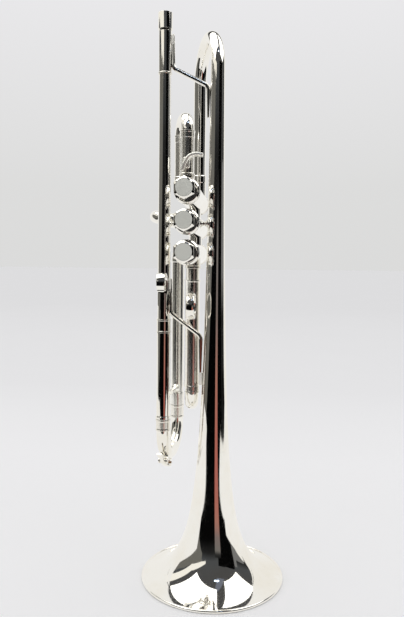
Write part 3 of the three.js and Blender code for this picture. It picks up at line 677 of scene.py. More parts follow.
def braces():
    low, high = box("brace_top")
    pipe = radius_of("mouthpiece_receiver") - RECEIVER_STEP
    left, right = (high.z + 3 * MM, high.z - 24.8 * MM), (low.z + 26 * MM, low.z)
    z_brace("brace_top", LEADPIPE.y, left, right, pipe, flare_radius(low.z + 6 * MM))
    low, high = box("brace_bottom")
    left, right = (high.z, high.z - 29.5 * MM), (low.z + 42.3 * MM, low.z + 9.3 * MM)
    depth = LEADPIPE.y - 2.7 * MM
    z_brace("brace_bottom", depth, left, right, leadpipe_radius(high.z), flare_radius(low.z), 11 * MM)


# ---- Valves ----

FLUTES, FLUTE_DEPTH, CAP_SIDES = 72, 0.22 * MM, 432
DISC, CROWN_DROP, BUTTON_SIDES = 6.95 * MM, 1.6 * MM, 144


def knurled(low, high, inner):
    """Fine flutes round a band between two depths. The wall inside stays smooth."""

    def shape(angle, radius, s):
        if not low < s < high or radius <= inner + 0.3 * MM:
            return 1
        return 1 - FLUTE_DEPTH / radius * (0.5 - 0.5 * cos(FLUTES * angle))

    return shape


def casing(n, valve):
    low, high = box(f"valve_casing_{n}")
    bore, outer = 8.5 * MM, CASING_RADIUS
    thread = outer - 0.5 * MM
    raised = outer + 0.45 * MM
    shoulder = low.y + 6 * MM
    waist = high.y - 3.6 * MM
    outline = [
        (bore, low.y), (thread, low.y), (thread, shoulder), (raised, shoulder),
        (raised, shoulder + 2.4 * MM), (outer, shoulder + 3.2 * MM), (outer, waist - 3.2 * MM),
        (raised, waist - 2.4 * MM), (raised, waist), (thread, waist), (thread, high.y), (bore, high.y),
    ]
    piece(f"valve_casing_{n}", turned(valve_line(valve), outline), SILVER)


def knurled_cap(name, valve, outline, step, flutes):
    outline = divided(eased(outline, 0.15 * MM), step)
    piece(name, drawn(valve_line(valve), outline, CAP_SIDES, flutes), SILVER)


def top_cap(n, valve):
    name = f"top_cap_{n}"
    low, high = box(name)
    wide = radius_of(name)
    front, skirt = low.y, high.y
    inner, hole = CASING_RADIUS - 0.2 * MM, 3.3 * MM
    outline = [
        (hole, front), (wide - 1.3 * MM, front), (wide - 0.1 * MM, front + 1.2 * MM),
        (wide, front + 2 * MM), (wide - 0.3 * MM, front + 2.2 * MM), (wide, front + 2.4 * MM),
        (wide, skirt - 1 * MM), (wide - 0.3 * MM, skirt - 0.6 * MM), (wide, skirt - 0.4 * MM),
        (wide - 0.1 * MM, skirt), (inner, skirt), (inner, front + 2.4 * MM), (hole, front + 2 * MM),
    ]
    flutes = knurled(front + 2.3 * MM, skirt - 0.9 * MM, inner)
    knurled_cap(name, valve, outline, 2 * MM, flutes)


def bottom_cap(n, valve):
    name = f"bottom_cap_{n}"
    low, high = box(name)
    wide = radius_of(name)
    rim, back = low.y, high.y
    inner, hole = CASING_RADIUS - 0.2 * MM, 1.5 * MM
    outline = [
        (inner, rim), (wide - 0.1 * MM, rim), (wide, rim + 0.5 * MM), (wide, rim + 4.4 * MM),
        (wide - 0.3 * MM, rim + 5 * MM), (wide - 0.9 * MM, back - 1.2 * MM),
        (wide - 1.5 * MM, back - 1 * MM), (6.2 * MM, back - 1.2 * MM), (5.4 * MM, back - 0.7 * MM),
        (5 * MM, back), (2.6 * MM, back), (2.2 * MM, back - 0.5 * MM), (hole, back - 0.5 * MM),
        (hole, back - 3 * MM), (inner, back - 3 * MM),
    ]
    flutes = knurled(rim + 0.6 * MM, rim + 4.3 * MM, inner)
    knurled_cap(name, valve, outline, 1.6 * MM, flutes)


def hexagon(across_flats):
    """The radius at an angle of a six-sided outline that has a corner at the top."""

    def at(angle):
        return across_flats / 2 / cos((angle - pi / 2) % (pi / 3) - pi / 6)

    return at


def finger_button(n, valve):
    """A six-sided button with a satin disc let into its bevelled crown."""
    low, high = box(f"finger_button_{n}")
    front, back = low.y, high.y
    flats = high.x - low.x
    corner = flats / 2 / cos(pi / 6)
    edge_at = hexagon(flats)
    line = valve_line(valve)
    bm = bmesh.new()

    def crown_depth(r):
        return front + CROWN_DROP * max(0.0, (r - DISC) / (corner - DISC))

    def ring(spot_at):
        """A ring whose radius and depth depend on where the six-sided edge is."""
        made = []
        for k in range(BUTTON_SIDES):
            angle = 2 * pi * k / BUTTON_SIDES
            r, depth = spot_at(edge_at(angle))
            place, across, up, _ = line.station(depth)
            made.append(bm.verts.new(place + (across * cos(angle) + up * sin(angle)) * r))
        return made

    def crown(share):
        """A ring on the bevelled crown, part way from the disc to the edge."""

        def spot_at(edge):
            r = DISC + (edge - 0.25 * MM - DISC) * share
            return r, crown_depth(r)

        return ring(spot_at)

    def shoulder(inset, drop):
        return ring(lambda edge: (edge - inset, crown_depth(edge) + drop))

    def side(inset, depth):
        return ring(lambda edge: (edge - inset, depth))

    def circle(radius, depth):
        return ring(lambda edge: (radius, depth))

    rings = [circle(DISC - 0.2 * MM, front + 0.2 * MM), circle(DISC - 0.12 * MM, front + 0.02 * MM)]
    rings += [crown(share) for share in (0.0, 0.25, 0.5, 0.75, 1.0)]
    rings += [shoulder(0.07 * MM, 0.02 * MM), shoulder(0.0, 0.25 * MM)]
    rings += [side(0.0, back - 0.4 * MM), side(0.12 * MM, back - 0.12 * MM), side(0.4 * MM, back)]
    rings += [circle(5.6 * MM, back), circle(5.5 * MM, back - 0.6 * MM)]
    rings += [circle(2.7 * MM, back - 0.6 * MM), circle(2.7 * MM, back)]
    ends = [bm.verts.new(line.station(depth)[0]) for depth in (front + 0.2 * MM, back)]
    bridge(bm, rings)
    for last, end in zip((rings[0], rings[-1]), ends):
        for k in range(BUTTON_SIDES):
            bm.faces.new((last[k], last[(k + 1) % BUTTON_SIDES], end))
    piece(f"finger_button_{n}", mesh_of(bm), SILVER, f"valve_{n}")
    disc = turned(line, wall(front, front + 0.15 * MM, DISC - 0.25 * MM), 0.12 * MM)
    piece(f"button_disc_{n}", disc, SILVER_BRUSHED, f"valve_{n}")


def valve_moving_pieces(n, valve):
    body = f"valve_{n}"
    line = valve_line(valve)
    stem, washer, piston = (f"{part}_{n}" for part in ("valve_stem", "stem_felt", "piston"))
    low, high = box(stem)
    outline = wall(low.y, high.y, radius_of(stem))
    piece(stem, turned(line, outline, sides=SMALL_SIDES), NICKEL, body)

    low, high = box(washer)
    outline = wall(low.y, high.y, radius_of(washer), 2.75 * MM)
    piece(washer, turned(line, outline, 0.35 * MM, SMALL_SIDES), FELT, body)

    low, high = box(piston)
    wide = radius_of(piston)
    barrel, shell = 6.5 * MM, 0.8 * MM
    shoulder, lid = low.y + 13 * MM, low.y + 1.2 * MM
    outline = [
        (0, low.y), (barrel, low.y), (barrel, shoulder - 1 * MM), (wide, shoulder), (wide, high.y),
        (wide - shell, high.y), (wide - shell, shoulder + shell), (barrel - shell, shoulder),
        (barrel - shell, lid), (0, lid),
    ]
    piece(piston, turned(line, outline), PISTON_METAL, body)


def valve_spring(n, valve):
    """A coil of wire along the valve, with a mesh of its own."""
    name = f"valve_spring_{n}"
    low, high = box(name)
    wire = 0.5 * MM
    coil = (high.z - low.z) / 2 - wire
    turns, steps = 5, 40
    start, end = low.y + wire, high.y - wire
    points = []
    for i in range(turns * steps + 1):
        share = i / (turns * steps)
        angle = 2 * pi * turns * share
        depth = start + (end - start) * share
        points.append((valve.x + coil * cos(angle), depth, valve.z + coil * sin(angle)))
    route = Route(points, side=(0, 1, 0))
    mesh = bent(route, wall(0, route.length, wire), 0.9 * MM, 0.1 * MM, WIRE_SIDES)
    made = piece(name, mesh, SPRING_METAL)
    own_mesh(made)


def casing_links():
    for n, (upper, lower) in enumerate(zip(VALVES, VALVES[1:]), 1):
        name = f"casing_link_{n}"
        wide = radius_of(name)
        outline = wall(lower.z + 2 * MM, upper.z - 2 * MM, wide, wide - 0.8 * MM)
        piece(name, onto_casings(turned(upright(centre(name)), outline), upper, lower), SILVER)


def casing_spools():
    """Short turned spools from the middle casing to the tubes on both sides."""
    half = [(0, 0), (3.8 * MM, 0), (3.6 * MM, 1.2 * MM), (2.2 * MM, 2.2 * MM), (1.5 * MM, 3.4 * MM)]
    for name in ("casing_brace_leadpipe", "casing_brace_bell"):
        low, high = box(name)
        z = (low.z + high.z) / 2
        y = (low.y + high.y) / 2
        start, end = low.x - 0.4 * MM, high.x + 0.4 * MM
        route = Route([(start, y, z), (end, y, z)], side=(0, 1, 0))
        outline = half + far_half(half, end - start)
        piece(name, turned(route, outline, 0.5 * MM, SMALL_SIDES), SILVER)


def valves():
    for n, valve in enumerate(VALVES, 1):
        casing(n, valve)
        top_cap(n, valve)
        bottom_cap(n, valve)
        finger_button(n, valve)
        valve_moving_pieces(n, valve)
        valve_spring(n, valve)
    casing_links()
    casing_spools()


# ---- Main tuning slide ----

COLLAR, FERRULE = 6.5 * MM, 6.4 * MM
OUTER, OUTER_BORE = 5.95 * MM, 5.5 * MM
INNER, INNER_BORE = 5.35 * MM, 4.85 * MM
BOW_OUTER, BOW_BORE = 5.8 * MM, 5.1 * MM
BOW_LEG = 4 * MM
BOW_ENDS = [at_height(place, box("tuning_bow")[1].z - BOW_LEG) for place in (LEADPIPE, TUNING_FAR)]
BOW_CENTRE = (BOW_ENDS[0] + BOW_ENDS[1]) / 2
TUNING_ACROSS = BOW_ENDS[1] - BOW_ENDS[0]
# Angles round the bow, in degrees from straight down.
KEY_PIVOT, KEY_NIPPLE = 42, 12


def tuning_outers():
    low, high = box("tuning_outer_near")
    outline = [
        (OUTER_BORE, low.z), (COLLAR, low.z), (COLLAR, low.z + 2 * MM), (OUTER, low.z + 2.8 * MM),
        (OUTER, high.z), (OUTER_BORE, high.z),
    ]
    piece("tuning_outer_near", turned(upright(LEADPIPE), outline, sides=TUBE_SIDES), SILVER)

    foot = at_height(TUNING_FAR, box("tuning_outer_far")[0].z)
    bend = VALVES[2].z + 1.5 * MM
    corners = [foot, at_height(foot, bend), (VALVES[2].x - 2 * MM, foot.y, bend)]
    route = Route(rounded(corners, 6.5 * MM, 24), side=(1, 0, 0))
    elbow = VALVES[2].z - 5 * MM - foot.z
    ring, knuckle = 6.35 * MM, 6.1 * MM
    outline = [
        (OUTER_BORE, 0), (COLLAR, 0), (COLLAR, 11 * MM), (OUTER, 12 * MM), (OUTER, elbow - 3 * MM),
        (ring, elbow - 2.4 * MM), (ring, elbow), (knuckle, elbow + 0.6 * MM),
        (knuckle, route.length), (OUTER_BORE, route.length),
    ]
    mesh = onto_casings(bent(route, outline, 1.2 * MM), VALVES[2])
    piece("tuning_outer_far", mesh, SILVER_WORN)


def tuning_brace():
    low, high = box("tuning_outer_brace")
    length = TUNING_ACROSS.length
    start = 5.9 * MM
    rise = [(0, start), (4 * MM, start), (3.7 * MM, 7.4 * MM), (2.2 * MM, 8.6 * MM), (1.6 * MM, 10 * MM)]
    half = [*rise, (2.1 * MM, length / 2 - 1.5 * MM), (2.5 * MM, length / 2)]
    outline = half + far_half(half[:-1], length)
    from_pipe = at_height(LEADPIPE, (low.z + high.z) / 2)
    route = Route([from_pipe, from_pipe + TUNING_ACROSS], side=(0, 0, 1))
    piece("tuning_outer_brace", turned(route, outline, 0.5 * MM, SMALL_SIDES), SILVER)


def tuning_slide():
    for name, place in (("tuning_inner_near", LEADPIPE), ("tuning_inner_far", TUNING_FAR)):
        low, high = box(name)
        top = box(name.replace("inner", "outer"))[0].z - 0.25 * MM
        seat, waist = BOW_OUTER + 0.1 * MM, 6.2 * MM
        outline = [
            (INNER_BORE, low.z + 3 * MM), (seat, low.z + 2.4 * MM), (seat, low.z), (COLLAR, low.z),
            (COLLAR, low.z + 1.4 * MM), (waist, low.z + 2 * MM), (waist, top - 2.2 * MM),
            (COLLAR, top - 1.6 * MM), (COLLAR, top), (INNER, top), (INNER, high.z), (INNER_BORE, high.z),
        ]
        piece(name, turned(upright(place), outline, 0.2 * MM), NICKEL, "tuning_slide")
    route = Route(half_turn(*BOW_ENDS, -UP, BOW_LEG, 96), side=(1, 0, 0))
    mesh = bent(route, wall(0, route.length, BOW_OUTER, BOW_BORE), 1 * MM)
    piece("tuning_bow", mesh, SILVER, "tuning_slide")


def in_bow(angle, radius):
    """A place in the bow's plane: 0 is straight down, and angles grow to the leadpipe."""
    turn = radians(angle)
    painted_far_shade = -TUNING_ACROSS.normalized() * sin(turn) - UP * cos(turn)
    return BOW_CENTRE + painted_far_shade * radius


def water_key():
    """A spout on the bow, and a sprung lever with a cork that closes it."""
    face = TUNING_ACROSS.length / 2 + BOW_OUTER
    pivot_radius = face + 4.6 * MM
    across = TUNING_ACROSS.normalized().cross(UP)
    pivot = in_bow(KEY_PIVOT, pivot_radius)

    def on_pin(reach, outer, bore=0, ease=0.3 * MM, sides=BARREL_SIDES, shift=0):
        """A round body on the pin's axis, reach to each side of its middle."""
        middle = pivot + across * shift
        line = Route([middle - across * reach, middle + across * reach])
        return turned(line, wall(0, 2 * reach, outer, bore), ease, sides)

    # The saddle: two cheeks and the pin that the lever turns on.
    outward = (in_bow(KEY_PIVOT, 1) - BOW_CENTRE).normalized()
    turn = Matrix((across, across.cross(outward), outward)).transposed().to_4x4()
    parts = [on_pin(4.6 * MM, 0.8 * MM, sides=PIN_SIDES)]
    for shift in (-3.5 * MM, 3.5 * MM):
        web = pivot + across * shift - outward * 2.6 * MM
        parts.append(on_pin(0.7 * MM, 2.4 * MM, shift=shift))
        parts.append(block((1.3 * MM, 3.6 * MM, 5.2 * MM), web, turn, 0.3 * MM))
    base = block((8.4 * MM, 5.4 * MM, 1.9 * MM), in_bow(KEY_PIVOT, face + 0.4 * MM), turn, 0.5 * MM)
    bow = Route(half_turn(*BOW_ENDS, -UP, steps=96))
    tube = drawn(bow, divided(wall(0, bow.length, BOW_OUTER - 0.1 * MM), 1 * MM))
    piece("water_key_saddle", cut(joined(base, *parts), tube), SILVER, "tuning_slide")

    # The nipple, a short spout with a fine rim. Its outline starts inside the bow's wall.
    spout = Route([in_bow(KEY_NIPPLE, face - 2 * MM), in_bow(KEY_NIPPLE, face + 8 * MM)])
    hole, rim = 1.6 * MM, 3.9 * MM
    outline = [(hole, 1.4 * MM), (3.6 * MM, 1.4 * MM), (3.1 * MM, 2.6 * MM), (3 * MM, rim), (hole, rim)]
    nipple = turned(spout, outline, 0.15 * MM, SMALL_SIDES)
    piece("water_key_nipple", nipple, SILVER, "tuning_slide")

    # The lever: a strip from the cork's cup to the touch piece, with a barrel on the pin.
    points = [in_bow(angle, pivot_radius + 1.2 * MM) for angle in range(KEY_NIPPLE - 4, KEY_PIVOT + 1, 6)]
    tip = points[-1]
    tangent = (in_bow(KEY_PIVOT + 90, 1) - BOW_CENTRE).normalized()
    points += [tip + tangent * 8 * MM, tip + tangent * 18.6 * MM]

    def width(share):
        """Wider at the cup and at the touch piece, whose end is rounded off."""
        return (3.6 + 2.2 * (2 * share - 1) ** 2 - 1.6 * max(0, share - 0.93) / 0.07) * MM

    bar = band(Route(smooth_line(points), side=across), width, 1.5 * MM, 0.6 * MM)
    barrel = on_pin(2.5 * MM, 2.3 * MM, 1 * MM)
    cup_line = Route([in_bow(KEY_NIPPLE, face + 3.5 * MM), in_bow(KEY_NIPPLE, face + 9 * MM)])
    outline = [(0, 0), (3.7 * MM, 0), (3.3 * MM, 2.5 * MM), (0, 2.9 * MM)]
    cup = turned(cup_line, outline, 0.4 * MM, SMALL_SIDES)
    reach = 5 * MM
    pin_line = Route([pivot - across * reach, pivot + across * reach])
    pin_room = drawn(pin_line, wall(0, 2 * reach, 0.95 * MM), ROD_SIDES)
    piece("water_key_lever", cut(joined(bar, barrel, cup), pin_room), SILVER, "water_key")

    pad = Route([in_bow(KEY_NIPPLE, face), in_bow(KEY_NIPPLE, face + 5 * MM)])
    cork_pad = turned(pad, wall(2.05 * MM, 3.45 * MM, 3.2 * MM), 0.3 * MM, SMALL_SIDES)
    piece("water_key_cork", cork_pad, CORK, "water_key")


# ---- Valve slides ----


def slide_sleeves(name, body, near, far, open_end, crook, side):
    """Two sleeves with beaded ends and the crook that joins them, as three soldered pieces."""
    waist = 6.25 * MM
    for label, place, nodes in (("near", near, (name,)), ("far", far, None)):
        outline = [
            (OUTER_BORE, open_end), (COLLAR, open_end), (COLLAR, open_end + side * 1.3 * MM),
            (OUTER, open_end + side * 1.9 * MM), (OUTER, crook - side * 6.2 * MM),
            (waist, crook - side * 5.8 * MM), (waist, crook - side * 1.9 * MM),
            (COLLAR, crook - side * 1.5 * MM), (COLLAR, crook), (OUTER_BORE, crook),
        ]
        mesh = turned(upright(place), outline, 0.2 * MM)
        piece(f"{name}_sleeve_{label}", mesh, SILVER_WORN, body, nodes)
    ends = at_height(near, crook), at_height(far, crook)
    route = Route(half_turn(*ends, UP * side, 3 * MM), side=(1, 0, 0))
    mesh = bent(route, wall(0, route.length, BOW_OUTER - 0.05 * MM, BOW_BORE), 0.8 * MM)
    piece(f"{name}_crook", mesh, SILVER, body)


def stub_outline(tip, ferrule, root, ring, bevel, shell):
    """A bare inner tube from its tip to a ferrule, and a thicker one from there to its root."""
    way = 1 if root > tip else -1
    return [
        (INNER_BORE, tip), (INNER, tip), (INNER, ferrule), (FERRULE, ferrule),
        (FERRULE, ferrule + way * ring), (shell, ferrule + way * (ring + bevel)),
        (shell, root), (INNER_BORE, root),
    ]


def first_slide():
    low, high = box("first_slide")
    near = centre("first_stub_near")
    far = Vector((low.x + COLLAR, high.y - COLLAR, 0))
    tip = box("first_stub_near")[1].z
    ferrule = low.z - 0.3 * MM
    root = VALVES[0]
    outline = stub_outline(tip, ferrule, root.z, 2 * MM, 0.6 * MM, 6.05 * MM)
    mesh = onto_casings(turned(upright(near), outline, 0.2 * MM), root)
    piece("first_stub_near", mesh, NICKEL)

    target = (root.x - 1.7 * MM, far.y, root.z + 2 * MM)
    corners = [at_height(far, tip), at_height(far, ferrule - 3.9 * MM), target]
    route = Route(rounded(corners, 3.6 * MM, 20), side=(1, 0, 0))
    outline = stub_outline(0, tip - ferrule, route.length, 1.6 * MM, 0.5 * MM, 6.1 * MM)
    mesh = onto_casings(bent(route, outline, 1 * MM, 0.2 * MM, FINE_SIDES), root)
    piece("first_stub_far", mesh, NICKEL)

    crook = high.z - (far - at_height(near, 0)).length / 2 - BOW_OUTER
    slide_sleeves("first_slide", "first_valve_slide", near, far, low.z, crook, 1)


def around_sleeve(mesh, place, low, high):
    """A mesh cut to fit the upright sleeve that it is soldered onto."""
    return cut(mesh, drawn(upright(place), wall(low, high, OUTER + 0.02 * MM), FINE_SIDES))


def thumb_hook():
    """An open strip on the first slide that the left thumb pushes."""
    near = centre("first_stub_near")
    start = Vector((near.x, near.y - 10.3 * MM, box("thumb_hook")[0].z + 0.4 * MM))
    rise = ((-3.1, 0), (-1.1, 6), (2.5, 11.3), (8.1, 13.3), (14, 12.7))
    points = [start + Vector((x * MM, 0, z * MM)) for x, z in rise]

    def width(share):
        return (9 - 1.5 * abs(2 * share - 1) ** 3) * MM

    curve = band(Route(smooth_line(points), side=(0, 1, 0)), width, 3 * MM, 1.3 * MM)
    place = Vector((near.x, near.y - 6.6 * MM, start.z + 7 * MM))
    foot = block((5.6 * MM, 4.6 * MM, 9.4 * MM), place, ease=1.1 * MM)
    mesh = around_sleeve(joined(curve, foot), near, 0.2, 0.5)
    piece("thumb_hook", mesh, SILVER_SATIN, "first_valve_slide")


def second_slide():
    """A short slide that leans up to the leadpipe's side from the middle casing."""
    tilt = radians(13)
    lean = Vector((-cos(tilt), 0, sin(tilt)))
    valve = VALVES[1]
    outer, bore, ring = 5.7 * MM, 5.25 * MM, 6.1 * MM
    leg, leg_bore = 5.1 * MM, 4.6 * MM
    foot, ferrule, crook = 5 * MM, 21.5 * MM, 22.5 * MM
    collar = ferrule + 0.3 * MM
    legs = []
    for label, nodes in (("near", ("second_slide",)), ("far", None)):
        name = f"second_outer_{label}"
        start = Vector((valve.x, centre(name).y, valve.z))
        route = Route([start, start + lean], side=(0, 1, 0))
        outline = [
            (bore, foot), (outer, foot), (outer, ferrule - 2.4 * MM), (ring, ferrule - 1.8 * MM),
            (ring, ferrule), (bore, ferrule),
        ]
        piece(name, onto_casings(turned(route, outline, 0.2 * MM), valve), SILVER)
        outline = [
            (leg_bore, 11 * MM), (leg, 11 * MM), (leg, collar), (ring, collar),
            (ring, ferrule + 2.6 * MM), (5.5 * MM, ferrule + 3.1 * MM), (leg_bore, ferrule + 3.1 * MM),
        ]
        mesh = turned(route, outline, 0.2 * MM)
        piece(f"second_slide_leg_{label}", mesh, SILVER, "second_valve_slide", nodes)
        legs.append(start + lean * crook)
    route = Route(half_turn(*legs, lean), side=UP)
    mesh = bent(route, wall(0, route.length, 5.4 * MM, 4.7 * MM), 0.8 * MM)
    piece("second_slide_crook", mesh, SILVER, "second_valve_slide")


def third_slide():
    low, high = box("third_slide")
    root = VALVES[2]
    places = [centre("third_stub_near"), centre("third_stub_far")]
    for name, place in zip(("third_stub_near", "third_stub_far"), places):
        tip = box(name)[0].z
        outline = stub_outline(tip, tip + 65.6 * MM, root.z, 1.9 * MM, 0.6 * MM, 6.05 * MM)
        piece(name, onto_casings(turned(upright(place), outline, 0.2 * MM), root), NICKEL)
    spread = at_height(places[0], 0) - at_height(places[1], 0)
    crook = low.z + spread.length / 2 + BOW_OUTER
    slide_sleeves("third_slide", "third_valve_slide", *places, high.z, crook, -1)


def finger_ring():
    """A rounded ring for the left ring finger, on a small foot."""
    low, high = box("finger_ring")
    near = centre("third_stub_near")
    z = (low.z + high.z) / 2
    outer = (high.z - low.z) / 2
    inner = outer - 2.05 * MM
    y = low.y + outer
    half = (high.x - low.x) / 2
    route = Route([(near.x - half, y, z), (near.x + half, y, z)], side=(0, 0, 1))
    outline = []
    steps = 48
    for i in range(steps):
        turn = 2 * pi * i / steps
        r = (inner + outer) / 2 + (outer - inner) / 2 * cos(turn)
        outline.append((r, half + half * sin(turn)))
    ring = drawn(route, outline, FINE_SIDES)
    place = Vector((near.x, y + outer + 0.5 * MM, z))
    foot = block((4.4 * MM, 3 * MM, 6.4 * MM), place, ease=1 * MM)
    mesh = around_sleeve(joined(ring, foot), near, 0.1, 0.4)
    piece("finger_ring", mesh, SILVER, "third_valve_slide")


# ---- The camera and the studio ----

EYE_LEVEL = 0.24  # the trumpet's middle, which overhead cards are placed from
WALLS = 2.2  # how far the painted walls are
SOFTBOX_HEIGHT = 1.0


def camera():
    """The camera stands level with the trumpet's middle, turned a little to its left."""
    data = bpy.data.cameras.new("camera")
    data.lens = 35.39
    data.sensor_width = 36
    data.clip_start, data.clip_end = 0.01, 50
    made = bpy.data.objects.new("camera", data)
    bpy.context.scene.collection.objects.link(made)
    yaw, pitch, roll = (radians(a) for a in (-4.24, -4.24, 0.61))
    ahead = Vector((sin(yaw) * cos(pitch), cos(yaw) * cos(pitch), sin(pitch)))
    level = Vector((cos(yaw), -sin(yaw), 0))
    over = level.cross(ahead)
    right = level * cos(roll) + over * sin(roll)
    up = over * cos(roll) - level * sin(roll)
    place = Vector((0.027, -0.53227, 0.2729))
    turned = Matrix((right, up, -ahead)).transposed().to_4x4()
    made.matrix_world = Matrix.Translation(place) @ turned
    bpy.context.scene.camera = made


def stage_mesh(name, points, faces, material, glossy_only=True):
    mesh = bpy.data.meshes.new(name)
    mesh.from_pydata([Vector(p) for p in points], [], faces)
    mesh.materials.append(material)
    made = as_object(mesh, name)
    made.visible_camera = not glossy_only
    made.visible_diffuse = not glossy_only
    made.visible_shadow = not glossy_only
    made.visible_transmission = not glossy_only
    return made


def ramp(tree, value, stops):
    """A colour that follows a value, from stops of (value, colour)."""
    low, high = stops[0][0], stops[-1][0]
    share = tree.nodes.new("ShaderNodeMapRange")
    share.inputs["From Min"].default_value, share.inputs["From Max"].default_value = low, high
    tree.links.new(value, share.inputs["Value"])
    made = tree.nodes.new("ShaderNodeValToRGB")
    tree.links.new(share.outputs["Result"], made.inputs["Fac"])
    marks = made.color_ramp.elements
    while len(marks) < len(stops):
        marks.new(0.5)
    for mark, (at, color) in zip(marks, stops):
        mark.position = (at - low) / (high - low)
        mark.color = (*color, 1)
    return made.outputs["Color"]


def glow(name, *stops, strength=1.0):
    """A plain light-giving surface for the studio's cards, of one colour or with a colour at
    each of several heights."""
    material = bpy.data.materials.new(name)
    material.use_nodes = True
    tree = material.node_tree
    tree.nodes.clear()
    light = tree.nodes.new("ShaderNodeEmission")
    light.inputs["Strength"].default_value = strength
    if len(stops) == 1:
        light.inputs["Color"].default_value = (*stops[0], 1)
    else:
        split = tree.nodes.new("ShaderNodeSeparateXYZ")
        tree.links.new(tree.nodes.new("ShaderNodeTexCoord").outputs["Object"], split.inputs[0])
        tree.links.new(ramp(tree, split.outputs["Z"], stops), light.inputs["Color"])
    out = tree.nodes.new("ShaderNodeOutputMaterial")
    tree.links.new(light.outputs[0], out.inputs["Surface"])
    return material


def strip(name, feet, tops, material):
    """A wall between two lines of points."""
    points = [p for pair in zip(feet, tops) for p in pair]
    faces = [(2 * i, 2 * i + 2, 2 * i + 3, 2 * i + 1) for i in range(len(feet) - 1)]
    return stage_mesh(name, points, faces, material)


def card(name, distance, columns, material):
    """Upright cards round the trumpet, given at each azimuth by a lowest and a highest height."""
    feet, tops = [], []
    for azimuth, low, high in columns:
        turn = radians(azimuth)
        x, y = sin(turn) * distance, -cos(turn) * distance
        feet.append((x, y, low))
        tops.append((x, y, high))
    return strip(name, feet, tops, material)


def patch(name, distance, azimuths, elevations, material):
    """A card overhead, between two azimuths and two elevations seen from the trumpet's middle."""
    rows = []
    for elevation in elevations:
        lift = radians(elevation)
        row = []
        for azimuth in azimuths:
            turn = radians(azimuth)
            flat = cos(lift) * distance
            height = EYE_LEVEL + sin(lift) * distance
            row.append((sin(turn) * flat, -cos(turn) * flat, height))
        rows.append(row)
    return strip(name, rows[0], rows[1], material)


def grey(value):
    return (value, value, value)


def backdrop():
    """A flat pale floor whose colour is painted a little darker away from the camera: painted shade
    standing in for a sweep that turns up behind the trumpet.
    """
    made = Nodes("floor")
    split = made.add("ShaderNodeSeparateXYZ", {"Vector": made.place})
    # Painted shade: the floor's colour grows darker with distance behind the trumpet.
    stops = (0.3, grey(0.99)), (0.8, grey(0.92)), (3.3, grey(0.86))
    painted_far_shade = ramp(made.tree, split.outputs["Y"], stops)
    mottled = made.add("ShaderNodeMix", data_type="RGBA", blend_type="MULTIPLY")
    made.tree.links.new(made.ranged(made.noise(3), 0, 0.02), mottled.inputs["Factor"])
    made.tree.links.new(painted_far_shade, mottled.inputs["A"])
    mottled.inputs["B"].default_value = (*grey(0.5), 1)
    made.set(Base_Color=mottled.outputs["Result"], Roughness=0.9, Specular_IOR_Level=0.0)
    reach = 30.0
    corners = [(-reach, -reach, 0), (reach, -reach, 0), (reach, reach, 0), (-reach, reach, 0)]
    floor = stage_mesh("floor", corners, [(0, 1, 2, 3)], made.material, glossy_only=False)
    floor.visible_glossy = False

    world = bpy.data.worlds.new("studio")
    bpy.context.scene.world = world
    world.use_nodes = True
    tree = world.node_tree
    split = tree.nodes.new("ShaderNodeSeparateXYZ")
    tree.links.new(tree.nodes.new("ShaderNodeTexCoord").outputs["Generated"], split.inputs[0])
    stops = (
        (0.0, (0.71, 0.71, 0.705)),
        (0.12, (0.72, 0.72, 0.715)),
        (0.4, (0.82, 0.815, 0.83)),
        (1.0, (0.895, 0.895, 0.905)),
    )
    sky = ramp(tree, split.outputs["Z"], stops)
    tree.links.new(sky, tree.nodes["Background"].inputs["Color"])


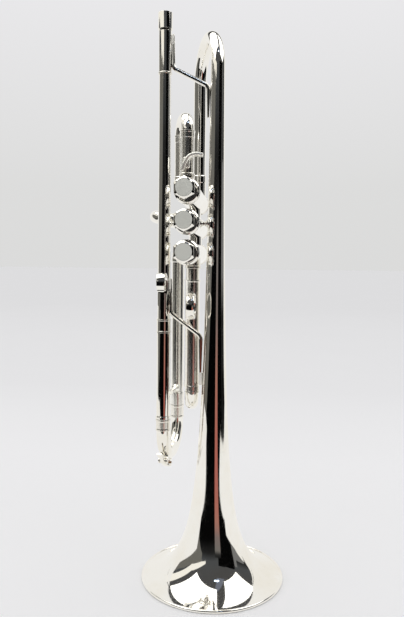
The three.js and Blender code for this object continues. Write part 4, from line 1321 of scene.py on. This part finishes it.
def studio():
    backdrop()

    # What the silver mirrors: a dark room, open in front, round a white table and backdrop.
    room = [(x, y, z) for z in (-2.0, 3.0) for x, y in ((-3, -3), (3, -3), (3, 3), (-3, 3))]
    sides = [(0, 1, 2, 3), (4, 5, 6, 7), (0, 1, 5, 4), (1, 2, 6, 5), (2, 3, 7, 6), (3, 0, 4, 7)]
    dusk = (0.0012, 0.0012, 0.0012)
    ceiling = (1.6, (0.07, 0.074, 0.078)), (3.0, grey(0.07))
    dark = glow("dark_room", (-2.0, dusk), (0.4, dusk), (1.0, grey(0.016)), *ceiling)
    stage_mesh("room", room, sides, dark)
    card("dark_card", 2.6, ((24, -0.5, 1.7), (50, -0.5, 1.7), (76, -0.5, 1.7)), glow("dark_card", dusk))

    half, front, back, high, steps = 0.62, -0.42, 0.36, 0.78, 12
    above_floor = 0.4 * MM
    curve = [(front, 0.0), (0.0, 0.0)]
    for i in range(1, steps + 1):
        turn = pi / 2 * i / steps
        curve.append((back * sin(turn), 0.22 * (1 - cos(turn))))
    curve.append((back + 0.02, high))
    lines = [[(x, y, z + above_floor) for y, z in curve] for x in (-half, half)]
    white = glow("white_sheet", (1.0, 0.985, 0.95), strength=0.9)
    strip("table_sheet", *lines, white)
    for name, x, tops in (
        ("left_wing", -half, ((0.05, 0.1), (0.2, 0.35), (back, high))),
        ("right_wing", half, ((0.2, 0.1), (0.3, 0.3), (back, high))),
    ):
        strip(name, [(x, y, 0) for y, z in tops], [(x, y, z) for y, z in tops], white)
    card("left_fold", 0.3, ((-50, 0, 0.085), (-64, 0, 0.098), (-90, 0, 0.105), (-115, 0, 0.11)), white)
    card("right_fold", 0.3, ((58, 0, 0.05), (84, 0, 0.062), (104, 0, 0.1)), white)

    red = glow(
        "dusty_red",
        (-0.8, (0.43, 0.127, 0.098)),
        (-0.15, (0.43, 0.127, 0.098)),
        (0.0, (0.38, 0.165, 0.125)),
        (0.17, (0.19, 0.15, 0.14)),
        (0.4, (0.17, 0.16, 0.15)),
        (0.5, grey(0.03)),
        (0.6, grey(0.01)),
    )
    card("red_card", 1.44, ((13, -0.8, 0.6), (33, -0.8, 0.6)), red)
    columns = (-135, -0.5, 1.15), (-100, -0.35, 1.15), (-62, -0.2, 1.14), (-32, 0.7, 1.12)
    card("grey_wall", WALLS, columns, glow("olive_grey", (0.15, 0.145, 0.13)))
    columns = (-135, 1.15, 1.7), (-62, 1.14, 1.7), (-32, 1.12, 1.5), (-18, 1.12, 1.3)
    card("cream_wall", WALLS, columns, glow("cream_wall", (0.95, 0.92, 0.84)))
    shades = (-0.5, grey(0.015)), (0.12, grey(0.02)), (0.3, grey(0.19)), (1.2, grey(0.17))
    door = glow("door_grey", *shades)
    card("grey_door", WALLS, ((76, -0.5, 1.2), (84, -0.5, 1.2)), door)
    card("grey_panel", WALLS, ((84, -0.1, 0.75), (108, -0.1, 0.75)), door)
    patch("lamp", 1.9, (12, 28), (54.5, 57.5), glow("lamp", (0.62, 0.78, 1.0), strength=6.0))
    patch("haze", 1.95, (20, 32, 44), (50, 80), glow("haze", (0.16, 0.175, 0.217)))

    softboxes = {
        "softbox_left": ((-0.78, -0.81), (-0.787, 0.437), (0.018, 0.369), (0.119, -0.225)),
        "softbox_right": ((1.31, -0.305), (0.769, 0.529), (0.087, 0.332), (0.426, -0.437)),
    }
    for name, corners in softboxes.items():
        points = [(x, y, SOFTBOX_HEIGHT) for x, y in corners]
        stage_mesh(name, points, [(0, 1, 2, 3)], glow(name, (1.0, 0.985, 0.94), strength=2.2))


# ---- Build ----

camera()
receiver()
leadpipe()
leadpipe_ferrule()
pinky_hook()
bell()
bell_tail_ferrule()
braces()
valves()
tuning_outers()
tuning_brace()
tuning_slide()
water_key()
first_slide()
thumb_hook()
second_slide()
third_slide()
finger_ring()
studio()

bpy.context.scene.view_settings.view_transform = "Standard"
